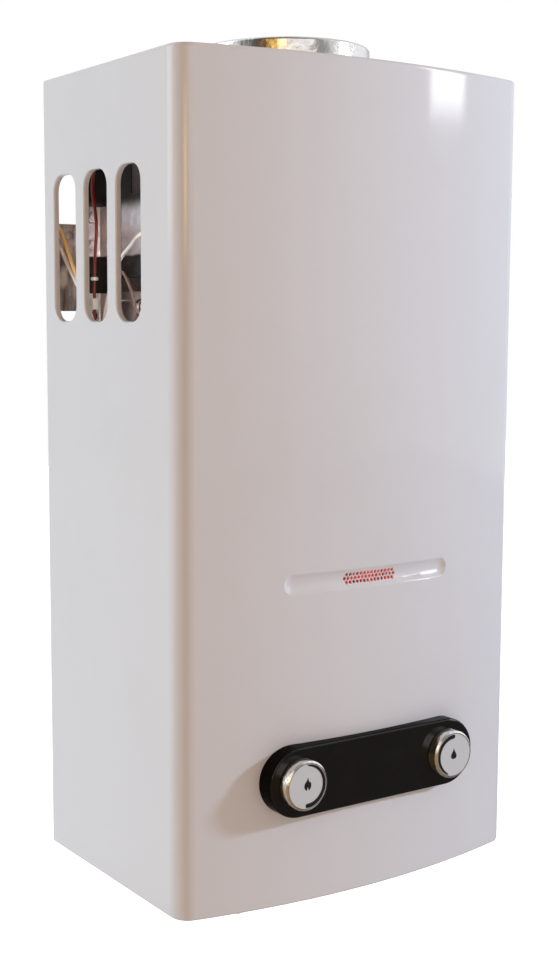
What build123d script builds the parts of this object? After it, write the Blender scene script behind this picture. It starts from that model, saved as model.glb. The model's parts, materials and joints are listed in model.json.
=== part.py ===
"""A wall-hung instantaneous gas water heater, with everything behind its enamelled cover.

Millimetres. Z points up, the wall is the plane Y = 0 and the front faces -Y. The origin is at
the foot of the back panel, in the middle of its width, where the panel meets the wall.
"""
from build123d import *
from math import asin, cos, degrees, pi, radians, sin, sqrt, tan
import os

# Casing
casing_width = 290.0
casing_height = 565.0
casing_side_depth = 181.7
front_bulge = 17.8
corner_radius = 14.0
cover_sheet = 1.0
cover_edge_round = 2.5
cover_flange = 12.0
cover_gap = 0.3

# Air slots in the casing's sides
slot_count = 3
slot_width = 32.0
slot_height = 102.5
slot_corner = 12.0
slot_pitch = 45.0
slot_first_depth = 30.0
slot_bottom = 393.7
slot_lip_depth = 4.0
slot_edge_round = 1.6

# Pressed groove across the front, with its perforated sight window
groove_height_on_casing = 220.5
groove_length = 142.5
groove_width = 13.0
groove_depth = 3.0
groove_rim_round = 1.4
window_rows = 3
window_row_holes = 15
window_hole_pitch = 3.05
window_row_spacing = 2.64
window_hole_radius = 1.25
pane_length = 60.0
pane_width = 11.0
pane_thickness = 1.0
pane_gap = 0.1

# Control plate and its two knobs
knob_height_on_casing = 88.0
knob_spacing = 129.0
plate_width = 48.0
plate_length = 178.0
plate_stand_off = 6.5
plate_wall = 2.5
plate_edge_round = 1.5
plate_gap = 0.1
peg_radius = 2.5
peg_spacing = 60.0
peg_rise = 28.0
peg_reach = 9.0
knob_radius = 17.0
knob_proud = 8.3
knob_gap = 0.5
knob_chamfer = 1.2
knob_front_wall = 3.0
knob_skirt_wall = 2.2
knob_hub_radius = 6.0
knob_hub_length = 16.0
knob_face_radius = 15.2
knob_face_thickness = 0.8
face_gap = 0.05
hub_hole_gap = 0.4
cover_hub_hole_radius = 11.0

# Chassis: back panel, its ears and its folded base
panel_sheet = 1.0
panel_width = 236.0
panel_flange = 12.0
ear_bottom = 401.0
ear_top = 464.0
hanging_hole_radius = 4.5
hanging_hole_spacing = 160.0
hanging_hole_drop = 42.7
fixing_hole_radius = 3.5
fixing_hole_height = 30.0
air_hole_width = 10.0
air_hole_length = 32.0
air_hole_pitch = 20.0
air_hole_count = 7
air_hole_depth = 158.0

# Heat exchanger, its shell and the draft hood above it
shell_width = 170.0
shell_front = 150.0
shell_back = 32.0
shell_sheet = 1.0
shell_bottom = 235.0
shell_height = 190.0
tube_radius = 7.0
tube_wall = 1.0
tube_hole_gap = 0.05
tube_drop = 22.0
tube_passes = 4
tube_pass_pitch = 27.0
tube_end_reach = 11.0
tube_bend_reach = 14.0
fin_count = 29
fin_pitch = 5.0
fin_thickness = 0.6
fin_height = 38.0
fin_gap = 0.1
coil_gap = 0.3
coil_bend = 20.0
coil_turn_drop = 46.0
coil_drop = 75.0
coil_feed_drop = 31.0
coil_return_drop = 30.0
coil_feed_bend = 12.0
pipe_bend = 14.0
hot_pipe_drop = 12.0
hot_pipe_rise = 18.0
hood_width = 200.0
hood_front = 160.0
hood_window_drop = 35.7
hood_window_height = 44.0
hood_window_margin = 14.0
baffle_width = 120.0
baffle_rise = 90.0
baffle_legs = 36.0
collar_radius = 62.0
collar_sheet = 1.0
collar_proud = 19.8
collar_depth = 91.2
collar_flange = 8.0
collar_bead = 1.2
bracket_width = 20.0
bracket_foot = 18.0
bracket_sheet = 1.5
bracket_spacing = 120.0
shell_bracket_rise = 27.0
hood_bracket_rise = 37.0

# Burner
frame_height = 55.0
frame_rail_width = 8.0
frame_rail_height = 4.0
bar_count = 10
bar_pitch = 16.0
bar_width = 8.0
bar_end_gap = 0.8
bar_body_height = 20.0
bar_deck_width = 6.0
bar_deck_height = 6.0
bar_port_pitch = 8.0
bar_port_width = 1.5
bar_inlet_radius = 4.0
bar_inlet_rise = 3.0
manifold_size = 14.0
manifold_wall = 1.5
manifold_length = 164.0
injector_radius = 3.5
injector_tip_radius = 2.0
injector_bore_radius = 0.6
injector_base_length = 2.8
injector_tip_length = 6.0
riser_radius = 8.0
riser_wall = 1.5
riser_flange = 26.0
riser_straight = 26.0
riser_jog = 18.0
riser_bend = 12.0
electrode_spacing = 90.0
electrode_rise = 7.0
ceramic_radius = 3.5
ceramic_front_reach = 24.0
ceramic_back_reach = 8.0
electrode_pin_radius = 0.8
electrode_pin_length = 24.0
electrode_bracket_width = 120.0
electrode_bracket_height = 24.0
electrode_bracket_sheet = 2.0
burner_window_width = 50.0
burner_window_height = 10.0

# Gas and water valves, side by side on one axis behind the knobs
valve_depth = 110.0
valve_block_half = 28.0
tap_bore_radius = 12.0
tap_clearance = 0.05
tap_port_radius = 5.0
tap_length = 44.0
gland_depth = 4.0
gland_nut_width = 24.0
gland_nut_thickness = 6.0
spindle_radius = 4.0
spindle_end_radius = 3.0
spindle_flat = 2.0
spindle_shoulder_from_face = 24.3
gas_block_left = 31.5
gas_block_right = 48.5
water_block_right = 39.5
water_block_half_height = 22.0
casting_round = 6.0
solenoid_chamber_radius = 10.0
solenoid_seat_offset = 17.0
solenoid_radius = 13.0
solenoid_side_gap = 11.0
solenoid_end_wall = 10.7
solenoid_flange = 30.0
solenoid_flange_thickness = 3.0
plunger_radius = 4.0
plunger_disc_radius = 8.0
plunger_disc_thickness = 2.0
plunger_end_gap = 2.0
plunger_travel = 3.0
valve_rest_gap = 0.3
disc_chamber_length = 34.5
seat_from_block_face = 19.0
seat_thickness = 3.0
seat_hole_radius = 6.0
guide_length = 6.0
disc_radius = 9.0
disc_thickness = 2.0
stem_travel = 4.0
rod_radius = 2.5
linkage_gap = 24.0
linkage_sheet = 1.5
linkage_half_width = 16.0
linkage_rise = 20.0
linkage_drop = 26.0
housing_radius = 34.0
housing_thickness = 12.0
cavity_radius = 26.0
cavity_margin = 3.0
diaphragm_thickness = 1.5
diaphragm_plate_radius = 22.0
diaphragm_plate_thickness = 2.0
diaphragm_plate_gap = 0.1
water_port_offset = 20.5
water_outlet_offset = 22.5
housing_screw_circle = 30.0
housing_screw_count = 6
screw_radius = 2.0
screw_hole_gap = 0.1
screw_head_radius = 3.5
screw_head_height = 3.0
housing_screw_length = 23.0
spring_wire_radius = 0.4
spring_radius = 6.0
disc_spring_turns = 5
solenoid_spring_turns = 6

# Microswitch that the water valve's push rod works
collar_on_rod_radius = 7.0
collar_on_rod_length = 2.0
collar_on_rod_offset = 8.5
lever_thickness = 1.5
lever_width = 6.0
lever_gap = 0.3
lever_pivot_rise = 15.0
lever_arm_down = 10.5
lever_arm_up = 4.2
lever_pin_radius = 1.0
lever_pin_gap = 0.05
lever_pin_length = 12.0
button_rise = 3.5
button_travel = 1.8
button_proud = 2.4
button_width = 3.0
button_depth = 5.0
switch_length = 20.0
switch_height = 14.0
switch_bottom_rise = 11.0
switch_ear = 1.5

# Connections under the heater
fitting_offset = 23.0
thread_radius = 10.5
fitting_bore_radius = 6.0
fitting_neck_radius = 9.0
fitting_reach = 25.0
free_thread_length = 23.0
thread_relief = 0.4
thread_top = 14.0
fitting_hex_width = 24.0
fitting_hex_height = 6.0
hot_outlet_top = 18.0
base_hole_gap = 0.7
lock_nut_width = 30.0
lock_nut_height = 6.0
lock_nut_gap = 0.05
strainer_radius = 5.8
strainer_wall = 0.8
strainer_length = 20.0

# Electrical pieces on the back panel
battery_radius = 17.1
battery_length = 61.5
battery_gap = 0.4
battery_box_wall = 2.0
battery_box_left = 30.0
battery_box_back = 22.0
battery_box_bottom = 0.0
battery_lid_thickness = 3.0
lid_hinge_radius = 2.2
lid_pin_radius = 1.5
lid_pin_gap = 0.1
lid_hinge_offset = 2.5
lid_knuckle_length = 12.0
lid_knuckle_inset = 10.0
lid_lug_length = 5.0
lid_lug_notch = 1.3
lid_catch_height = 8.0
lid_catch_gap = 0.3
lid_catch_thickness = 1.8
ignition_box_left = -105.0
ignition_box_width = 90.0
ignition_box_bottom = 60.0
ignition_box_height = 70.0
ignition_box_thickness = 30.0
thermostat_radius = 7.0
thermostat_height = 7.0
thermostat_flange = 16.0
thermostat_flange_sheet = 1.5
thermostat_terminal = 3.0
flue_thermostat_depth = 58.0
flue_thermostat_rise = 12.0
overheat_thermostat_depth = 86.0
overheat_thermostat_rise = 30.0
lead_radius = 1.0
cover_screw_spacing = 200.0
cover_screw_inset = 8.0
cover_screw_head_height = 1.4
cover_screw_length = 8.0

# Sizes that follow from those above
casing_half = casing_width / 2
casing_depth = casing_side_depth + front_bulge
front_radius = (casing_half**2 + front_bulge**2) / (2 * front_bulge)
front_centre = front_radius - casing_depth
groove_section = ((groove_width / 2) ** 2 + groove_depth**2) / (2 * groove_depth)
knob_z = knob_height_on_casing
knob_x = knob_spacing / 2
plate_face = -(casing_depth + plate_stand_off)
knob_face = plate_face - knob_proud
valve_y = -valve_depth
block_front = valve_y - valve_block_half
spindle_shoulder = knob_face + spindle_shoulder_from_face
shell_half = shell_width / 2
shell_mid = -(shell_front + shell_back) / 2
shell_top = shell_bottom + shell_height
tube_height = shell_top - tube_drop
coil_top = shell_top - coil_drop
frame_bottom = shell_bottom - frame_height
shell_corner = coil_bend - tube_radius - coil_gap
hood_top = casing_height - cover_sheet - cover_gap
panel_top = hood_top - shell_sheet
hanging_hole_height = panel_top - hanging_hole_drop
hood_window_top = hood_top - hood_window_drop
hood_window_bottom = hood_window_top - hood_window_height
flue_thermostat_height = hood_window_top + flue_thermostat_rise
overheat_thermostat_height = shell_top + overheat_thermostat_rise
plan_inset = cover_edge_round + 0.1
tube_first = shell_mid - tube_pass_pitch * (tube_passes - 1) / 2
tube_last = shell_mid + tube_pass_pitch * (tube_passes - 1) / 2
bar_bottom = frame_bottom + frame_rail_height + 2 * shell_sheet
inlet_z = bar_bottom + bar_body_height / 2 + bar_inlet_rise
electrode_height = bar_bottom + bar_body_height + bar_deck_height + electrode_rise
gas_left = -knob_x - gas_block_left
gas_right = -knob_x + gas_block_right
seat_x = gas_right - seat_from_block_face
linkage_right = gas_right + linkage_gap
cavity_depth = stem_travel + diaphragm_plate_thickness + cavity_margin
diaphragm_x = linkage_right + housing_thickness
body_x = diaphragm_x + diaphragm_thickness
water_right = knob_x + water_block_right
fitting_x = knob_x + fitting_offset
rod_collar_x = gas_right + collar_on_rod_offset
solenoid_end = -(casing_half - cover_sheet - solenoid_side_gap)
solenoid_bore_end = solenoid_end + solenoid_end_wall
pivot_x = rod_collar_x - lever_gap - lever_thickness / 2
pivot_z = knob_z + lever_pivot_rise
base_bottom = cover_sheet
base_top = base_bottom + panel_sheet


def block(x, y, z):
    """A box between a pair of values on each axis."""
    centre = Pos((x[0] + x[1]) / 2, (y[0] + y[1]) / 2, (z[0] + z[1]) / 2)
    return centre * Box(abs(x[1] - x[0]), abs(y[1] - y[0]), abs(z[1] - z[0]))


def along(axis, place, start, end, section):
    """A section pushed along one axis; place is its centre on the other two axes."""
    across, up = place
    plane = {
        "X": Plane((start, across, up), x_dir=(0, 1, 0), z_dir=(1, 0, 0)),
        "Y": Plane((across, start, up), x_dir=(-1, 0, 0), z_dir=(0, 1, 0)),
        "Z": Plane((across, up, start), x_dir=(1, 0, 0), z_dir=(0, 0, 1)),
    }[axis]
    return extrude(plane * section, end - start)


def rod(axis, place, start, end, radius):
    """A round bar along one axis."""
    return along(axis, place, start, end, Circle(radius))


def hexagon(width):
    """A hexagon of the given width across its flats."""
    return RegularPolygon(width / 2, 6, major_radius=False)


def front_y(x, inset=0.0):
    """Where the bulged front, drawn in by inset, lies at this x."""
    return front_centre - sqrt((front_radius - inset) ** 2 - x**2)


def outline(inset, back=0.0):
    """Plan of the casing with every wall drawn in by inset, closed by a straight back."""
    half = casing_half - inset
    corner = front_y(half, inset)
    with BuildSketch() as plan:
        with BuildLine():
            Polyline((-half, corner), (-half, back), (half, back), (half, corner))
            ThreePointArc((half, corner), (0, front_y(0, inset)), (-half, corner))
        make_face()
        fillet(plan.vertices().group_by(Axis.Y)[0], corner_radius - inset)
    return plan.sketch


def casing(inset, bottom=0.0, top=casing_height, back=0.0):
    """The casing's block, drawn in by inset."""
    return extrude(Pos(0, 0, bottom) * outline(inset, back), top - bottom)


def bent_tube(points, radius, bend, wall=0.0):
    """A tube along straight runs with a bend at every corner between them."""
    path = FilletPolyline(*points, radius=bend)
    end = Plane(origin=path @ 0, z_dir=path % 0)
    tube = sweep(end * Circle(radius), path=path)
    if wall:
        tube -= sweep(end * Circle(radius - wall), path=path)
    return tube


def lead(points, radius=lead_radius):
    """A lead along chosen points, each bend as wide as its two runs allow."""
    spots = [Vector(*point) for point in points]
    runs = [b - a for a, b in zip(spots, spots[1:])]
    bends = []
    for before, after in zip(runs, runs[1:]):
        half_turn = radians(before.get_angle(after)) / 2
        bends.append(0.45 * min(before.length, after.length) / tan(half_turn))
    solid = bent_tube(points, radius, bends)
    length = FilletPolyline(*points, radius=bends).length
    share = solid.volume / (pi * radius**2 * length)
    print(f"lead {length:.0f} mm long, least bend {min(bends):.1f}, volume share {share:.4f}")
    return solid


def biarc(start, start_way, end, end_way):
    """Two arcs that join two points and leave each in its given direction."""
    gap, ways = end - start, start_way + end_way
    spread = 2 * (1 - start_way.dot(end_way))
    reach = (sqrt(gap.dot(ways) ** 2 + spread * gap.dot(gap)) - gap.dot(ways)) / spread
    middle = (start + end + (start_way - end_way) * reach) * 0.5
    first = Edge.make_tangent_arc(start, start_way, middle)
    return [first, Edge.make_tangent_arc(middle, first % 1, end)]


def coil_spring(start, end, place, radius, wire, turns):
    """A compression spring along X, one unbroken wire from end to end."""
    quarters, pitch = 4 * turns, (end - start) / turns
    spots, ways = [], []
    for step in range(quarters + 1):
        angle = step * pi / 2
        x = start + pitch * step / 4
        spots.append(Vector(x, place[0] + radius * cos(angle), place[1] + radius * sin(angle)))
        way = Vector(pitch / (2 * pi), -radius * sin(angle), radius * cos(angle))
        ways.append(way.normalized())
    edges = []
    for step in range(quarters):
        edges += biarc(spots[step], ways[step], spots[step + 1], ways[step + 1])
    path = Wire(edges)
    print(f"spring of {turns} turns, least gap between turns {pitch - 2 * wire:.2f} mm")
    return sweep(Plane(origin=path @ 0, z_dir=path % 0) * Circle(wire), path=path)


def slot_places():
    """Centres of the side slots, as (depth, height)."""
    z = slot_bottom + slot_height / 2
    return [(-slot_first_depth - slot_pitch * n, z) for n in range(slot_count)]


def window_places():
    """Centres of the sight window's holes, in staggered rows."""
    places = []
    for row in range(window_rows):
        count = window_row_holes - (row + 1) % 2
        z = groove_height_on_casing + window_row_spacing * (row - (window_rows - 1) / 2)
        places += [(window_hole_pitch * (n - (count - 1) / 2), z) for n in range(count)]
    return places


def groove_form(radius):
    """A bar of this radius, ball-ended, bent along the bulged front where the groove lies."""
    ring_radius = front_radius + groove_section - groove_depth
    reach = degrees(asin((groove_length - groove_width) / 2 / ring_radius))
    bar = Rot(0, 0, -90 - reach) * Torus(ring_radius, radius, major_angle=2 * reach, align=None)
    for turn in (-reach, reach):
        bar += Rot(0, 0, turn) * Pos(0, -ring_radius, 0) * Sphere(radius)
    return Pos(0, front_centre, groove_height_on_casing) * bar


def front_cover():
    """Sides and front in one sheet, turned in at the top and the foot."""
    def rounded(solid, low, high, radius):
        rim = [e for e in solid.edges() if e.center().Y < -0.01 and abs(e.center().Z - low) < 0.01]
        rim += [e for e in solid.edges() if e.center().Y < -0.01 and abs(e.center().Z - high) < 0.01]
        return fillet(rim, radius)

    t = cover_sheet
    cover = rounded(casing(0), 0, casing_height, cover_edge_round)
    inner = casing(t, t, casing_height - t)
    cover -= rounded(inner, t, casing_height - t, cover_edge_round - t)
    opening = outline(cover_flange, back=1.0)
    cover -= extrude(Pos(0, 0, -1) * opening, t + 2)
    cover -= extrude(Pos(0, 0, casing_height - t - 1) * opening, t + 2)

    for side in (-1, 1):
        outer, inner_end = side * casing_half, side * (casing_half - slot_lip_depth)
        for place in slot_places():
            lip = RectangleRounded(slot_width + 2 * t, slot_height + 2 * t, slot_corner + t)
            hole = RectangleRounded(slot_width, slot_height, slot_corner)
            cover += along("X", place, min(outer, inner_end), max(outer, inner_end), lip)
            reach = side * (casing_half + 1), side * (casing_half - slot_lip_depth - 1)
            cover -= along("X", place, min(reach), max(reach), hole)
    slot_middle = slot_bottom + slot_height / 2
    rims = [
        e
        for e in cover.edges()
        if abs(abs(e.center().X) - casing_half) < 0.01
        and abs(e.center().Z - slot_middle) < slot_height / 2 + 1
        and -0.5 > e.center().Y > -casing_side_depth + corner_radius + 2
    ]
    cover = fillet(rims, slot_edge_round)

    deep = -(casing_side_depth - 20), -(casing_depth + 20)
    low, high = groove_height_on_casing - groove_width, groove_height_on_casing + groove_width
    cover += groove_form(groove_section + t) & casing(t / 2, low, high)
    cover -= groove_form(groove_section)
    rim = [
        e
        for e in cover.edges()
        if abs(e.center().Z - groove_height_on_casing) < groove_width / 2 + 0.5
        and abs(e.center().X) < groove_length / 2 + 1
        and abs(e.center().Y - front_y(e.center().X)) < 0.4
    ]
    cover = fillet(rim, groove_rim_round)
    for place in window_places():
        cover -= rod("Y", place, deep[1], deep[0], window_hole_radius)

    for side in (-1, 1):
        cover -= rod("Y", (side * knob_x, knob_z), deep[1], deep[0], cover_hub_hole_radius)
        for rise in (-1, 1):
            place = (side * peg_spacing / 2, knob_z + rise * peg_rise / 2)
            cover -= rod("Y", place, deep[1], deep[0], peg_radius + 0.3)
        cover -= rod("Z", cover_screw_place(side), -1, t + 1, screw_radius + screw_hole_gap)
    return cover


def sight_pane():
    """Thin pane that lines the sight window behind the cover."""
    inset = groove_depth + cover_sheet + pane_gap
    low, high = groove_height_on_casing - pane_width, groove_height_on_casing + pane_width
    sheet = casing(inset, low, high) - casing(inset + pane_thickness, low, high)
    face = RectangleRounded(pane_length, pane_width, 2)
    middle = (0, groove_height_on_casing)
    return along("Y", middle, -casing_depth, -casing_side_depth, face) & sheet


def control_plate():
    """Hollow stadium that follows the cover's bulge behind and is flat in front."""
    middle = (0, knob_z)
    back = -(casing_side_depth - 20)
    body = along("Y", middle, plate_face, back, SlotOverall(plate_length, plate_width))
    body = fillet([e for e in body.edges() if abs(e.center().Y - plate_face) < 0.01], plate_edge_round)
    inner = SlotOverall(plate_length - 2 * plate_wall, plate_width - 2 * plate_wall)
    body -= along("Y", middle, plate_face + plate_wall, back + 1, inner)
    for side in (-1, 1):
        place = (side * knob_x, knob_z)
        body -= rod("Y", place, plate_face - 1, back, knob_hub_radius + hub_hole_gap)
    low, high = knob_z - plate_width, knob_z + plate_width
    body -= casing(-plate_gap, low, high, back=1)
    for side in (-1, 1):
        for rise in (-1, 1):
            place = (side * peg_spacing / 2, knob_z + rise * peg_rise / 2)
            start = plate_face + plate_wall
            body += rod("Y", place, start - 0.1, start + peg_reach, peg_radius)
    return body


def d_section(radius, flat):
    """A round section with one flat on its upper side."""
    return Circle(radius) & (Pos(0, flat - radius) * Rectangle(4 * radius, 2 * radius))


def knob(side):
    """Knob shell with a hub whose flatted bore takes the spindle."""
    place = (side * knob_x, knob_z)
    back = plate_face - knob_gap
    inside = knob_face + knob_front_wall
    body = rod("Y", place, knob_face, back, knob_radius)
    body = chamfer([e for e in body.edges() if abs(e.center().Y - knob_face) < 0.01], knob_chamfer)
    seat = knob_face_radius + face_gap
    body -= rod("Y", place, knob_face, knob_face + knob_face_thickness, seat)
    body -= rod("Y", place, inside, back, knob_radius - knob_skirt_wall)
    body += rod("Y", place, inside - 0.1, knob_face + knob_hub_length, knob_hub_radius)
    gap = tap_clearance
    bore = d_section(spindle_end_radius + gap, spindle_flat + gap)
    return body - along("Y", place, inside, knob_face + knob_hub_length, bore)


def knob_cap(side):
    """Satin disc let into the knob's front."""
    place = (side * knob_x, knob_z)
    return rod("Y", place, knob_face, knob_face + knob_face_thickness, knob_face_radius)


def tap_spindle(side):
    """Tap plug with a cross port, its spindle and the flatted end that holds the knob."""
    place = (side * knob_x, knob_z)
    start = block_front + gland_depth + 0.1
    plug = rod("Y", place, start, start + tap_length - 0.2, tap_bore_radius - tap_clearance)
    plug -= rod("X", (valve_y, knob_z), place[0] - 20, place[0] + 20, tap_port_radius)
    plug += rod("Y", place, spindle_shoulder, start + 0.1, spindle_radius)
    end = d_section(spindle_end_radius, spindle_flat)
    tip = knob_face + knob_front_wall + 0.5
    return plug + along("Y", place, tip, spindle_shoulder + 0.1, end)


def gland_nuts():
    """The two hexagon nuts that hold the taps in their blocks."""
    nuts = []
    for side in (-1, 1):
        place = (side * knob_x, knob_z)
        nut = along("Y", place, block_front - gland_nut_thickness, block_front, hexagon(gland_nut_width))
        nut += rod("Y", place, block_front - 0.1, block_front + gland_depth, tap_bore_radius - 0.1)
        start, end = block_front - gland_nut_thickness, block_front + gland_depth
        nuts.append(nut - rod("Y", place, start, end, spindle_radius + tap_clearance))
    return Compound(nuts)


def cover_screw_place(side):
    """Where a cover screw passes the cover's lower flange."""
    x = side * cover_screw_spacing / 2
    return (x, front_y(x) + cover_screw_inset)


def chassis():
    """Back panel with side ears and folded edges."""
    t, half = panel_sheet, panel_width / 2
    ear_tip = casing_half - cover_sheet - cover_gap
    panel = block((-half, half), (-t, 0), (0, panel_top))
    panel += block((-ear_tip, ear_tip), (-t, 0), (ear_bottom, ear_top))
    panel += block((-half + t, half - t), (-panel_flange, 0), (panel_top - t, panel_top))
    for side in (-1, 1):
        edge = (side * (half - t), side * half)
        panel += block(edge, (-panel_flange, 0), (base_top, ear_bottom - 2))
        panel += block(edge, (-panel_flange, 0), (ear_top + 2, panel_top))
        hanging = (side * hanging_hole_spacing / 2, hanging_hole_height)
        panel -= rod("Y", hanging, -2 * t, t, hanging_hole_radius)
        fixing = (side * hanging_hole_spacing / 2, fixing_hole_height)
        panel -= rod("Y", fixing, -2 * t, t, fixing_hole_radius)
    return panel


def base_plate():
    """Floor of the casing, welded to the back panel, that carries the fittings."""
    base = casing(plan_inset, base_bottom, base_top)
    base -= block((-panel_width / 2, panel_width / 2), (-panel_sheet, 1), (0, base_top + 1))
    for x in (-fitting_x, 0, fitting_x):
        base -= rod("Z", (x, valve_y), 0, base_top + 1, thread_radius + base_hole_gap)
    for n in range(air_hole_count):
        x = air_hole_pitch * (n - (air_hole_count - 1) / 2)
        hole = SlotOverall(air_hole_length, air_hole_width, rotation=90)
        base -= along("Z", (x, -air_hole_depth), 0, base_top + 1, hole)
    x, y, _ = battery_box_space()
    base -= block((x[0] - 0.3, x[1] + 0.3), (y[0] - 6, y[1] + 6), (0, base_top + 1))
    for side in (-1, 1):
        base -= rod("Z", cover_screw_place(side), 0, base_top + 1, screw_radius + 0.05)
    return base


def cover_screws():
    """Screws that hold the cover to the base plate, put in from below."""
    screws = []
    for side in (-1, 1):
        place = cover_screw_place(side)
        screw = rod("Z", place, -cover_screw_head_height, 0, screw_head_radius)
        screws.append(screw + rod("Z", place, -0.1, cover_screw_length, screw_radius))
    return Compound(screws)


def shell_column(inset, bottom, top):
    """The upright rounded block that the shell and the burner's tray share, drawn in by inset."""
    width, deep = shell_width - 2 * inset, shell_front - shell_back - 2 * inset
    section = RectangleRounded(width, deep, shell_corner - inset)
    return along("Z", (0, shell_mid), bottom, top, section)


def combustion_shell():
    """Copper shell, open above and below, whose sides carry the tube."""
    shell = shell_column(0, shell_bottom, shell_top)
    shell -= shell_column(shell_sheet, shell_bottom - 1, shell_top + 1)
    for n in range(tube_passes):
        place = (tube_first + tube_pass_pitch * n, tube_height)
        shell -= rod("X", place, -shell_half - 1, shell_half + 1, tube_radius + tube_hole_gap)
    return shell


def exchanger_fins():
    """Thin fins on the tube's passes."""
    y = (-shell_front + shell_sheet + fin_gap, -shell_back - shell_sheet - fin_gap)
    z = (tube_height - fin_height / 2, tube_height + fin_height / 2)
    fin = block((-fin_thickness / 2, fin_thickness / 2), y, z)
    for n in range(tube_passes):
        place = (tube_first + tube_pass_pitch * n, tube_height)
        fin -= rod("X", place, -1, 1, tube_radius + tube_hole_gap)
    places = [fin_pitch * (n - (fin_count - 1) / 2) for n in range(fin_count)]
    return Compound([Pos(x, 0, 0) * fin for x in places])


def exchanger_tube():
    """Water tube that crosses the fins four times."""
    bend = tube_pass_pitch / 2 - 0.1
    end, turn = shell_half + tube_end_reach, shell_half + tube_bend_reach
    points = [(end, tube_first, tube_height)]
    for n in range(tube_passes - 1):
        side = -1 if n % 2 == 0 else 1
        y = tube_first + tube_pass_pitch * n
        points += [(side * turn, y, tube_height), (side * turn, y + tube_pass_pitch, tube_height)]
    points.append((end, tube_last, tube_height))
    return bent_tube(points, tube_radius, bend, tube_wall)


def water_coil():
    """Tube that rises from the water valve, winds twice round the shell and feeds the fins."""
    x = shell_half + tube_radius + coil_gap
    front, back = -shell_front - tube_radius - coil_gap, -shell_back + tube_radius + coil_gap
    start = shell_half + tube_end_reach
    outer = start + tube_radius + coil_bend / 2
    z = coil_top
    step = coil_turn_drop / 7
    points = [
        (start, tube_first, tube_height),
        (outer, tube_first, tube_height),
        (outer, tube_first, tube_height - coil_feed_drop),
        (x, shell_mid, z),
        (x, back, z - step),
        (-x, back, z - 2 * step),
        (-x, front, z - 3 * step),
        (x, front, z - 4 * step),
        (x, back, z - coil_turn_drop),
        (-x, back, z - coil_turn_drop - step),
        (-x, front, z - coil_turn_drop - 2 * step),
        (x, front, z - coil_turn_drop - 3 * step),
        (x, valve_y, z - coil_turn_drop - 4 * step),
        (x, valve_y, frame_bottom - coil_return_drop),
        (body_x + water_outlet_offset, valve_y, frame_bottom - coil_return_drop),
        (body_x + water_outlet_offset, valve_y, knob_z + water_block_half_height),
    ]
    bends = [pipe_bend] + [coil_feed_bend] * 2 + [coil_bend] * 8 + [pipe_bend] * 3
    return bent_tube(points, tube_radius, bends, tube_wall)


def hot_pipe():
    """Tube from the fins' last pass down behind the valves to the hot outlet."""
    start = shell_half + tube_end_reach
    outer = start + tube_radius + coil_bend / 2
    low, level = frame_bottom - hot_pipe_drop, hot_outlet_top + hot_pipe_rise
    points = [
        (start, tube_last, tube_height),
        (outer, tube_last, tube_height),
        (outer, tube_last, low),
        (0, tube_last, low),
        (0, tube_last, level),
        (0, valve_y, level),
        (0, valve_y, hot_outlet_top),
    ]
    return bent_tube(points, tube_radius, pipe_bend, tube_wall)


def exchanger_brackets():
    """Four alike Z-shaped brackets that stand the shell and the hood off the back panel."""
    brackets = []
    t = bracket_sheet
    for side in (-1, 1):
        middle = side * bracket_spacing / 2
        x = (middle - bracket_width / 2, middle + bracket_width / 2)
        for z in (shell_bottom + shell_bracket_rise, shell_top + hood_bracket_rise):
            bracket = block(x, (-shell_back, -panel_sheet), (z - t, z))
            bracket += block(x, (-panel_sheet - t, -panel_sheet), (z - t, z + bracket_foot))
            bracket += block(x, (-shell_back, -shell_back + t), (z - bracket_foot, z))
            brackets.append(bracket)
    return Compound(brackets)


def draft_hood():
    """Galvanised box over the fins with a broad top, open below and at its side windows."""
    t, half = shell_sheet, hood_width / 2
    y = (-hood_front, -shell_back)
    hood = block((-half, half), y, (shell_top, hood_top))
    hood -= block((-half + t, half - t), (y[0] + t, y[1] - t), (shell_top + t, hood_top - t))
    hood -= shell_column(t, shell_top - 1, shell_top + t + 1)
    hood += casing(plan_inset, hood_top - t, hood_top, back=-1)
    y_window = (y[0] + hood_window_margin, y[1] - hood_window_margin)
    z_window = (hood_window_bottom, hood_window_top)
    hood -= block((-half - 1, half + 1), y_window, z_window)
    return hood - rod("Z", (0, -collar_depth), hood_top - 5, hood_top + 5, collar_radius - collar_sheet)


def hood_baffle():
    """Plate hung under the flue that turns a back draught aside."""
    t = shell_sheet
    half, deep = baffle_width / 2, baffle_rise / 2
    y = (-collar_depth - deep, -collar_depth + deep)
    bottom, top = hood_top - t - baffle_legs, hood_top - t
    plate = block((-half, half), y, (bottom, bottom + t))
    legs_from = collar_radius + 4
    for side in (-1, 1):
        plate += block((side * half, side * legs_from), y, (bottom, bottom + t))
        edge = (side * legs_from, side * (legs_from + t))
        plate += block(edge, (-collar_depth - 12, -collar_depth + 12), (bottom, top))
        plate += block(edge, y, (bottom, bottom + 2 * t))
    return plate


def flue_collar():
    """Round flue outlet on the hood, with a rolled rim and a flange."""
    place = (0, -collar_depth)
    top = casing_height + collar_proud
    collar = rod("Z", place, hood_top, top, collar_radius)
    collar += rod("Z", place, hood_top, hood_top + collar_sheet, collar_radius + collar_flange)
    collar -= rod("Z", place, hood_top - 1, top + 1, collar_radius - collar_sheet)
    bead = Pos(0, -collar_depth, top - collar_bead) * Torus(
        collar_radius - collar_sheet - collar_bead / 2, collar_bead
    )
    return collar + bead


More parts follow.
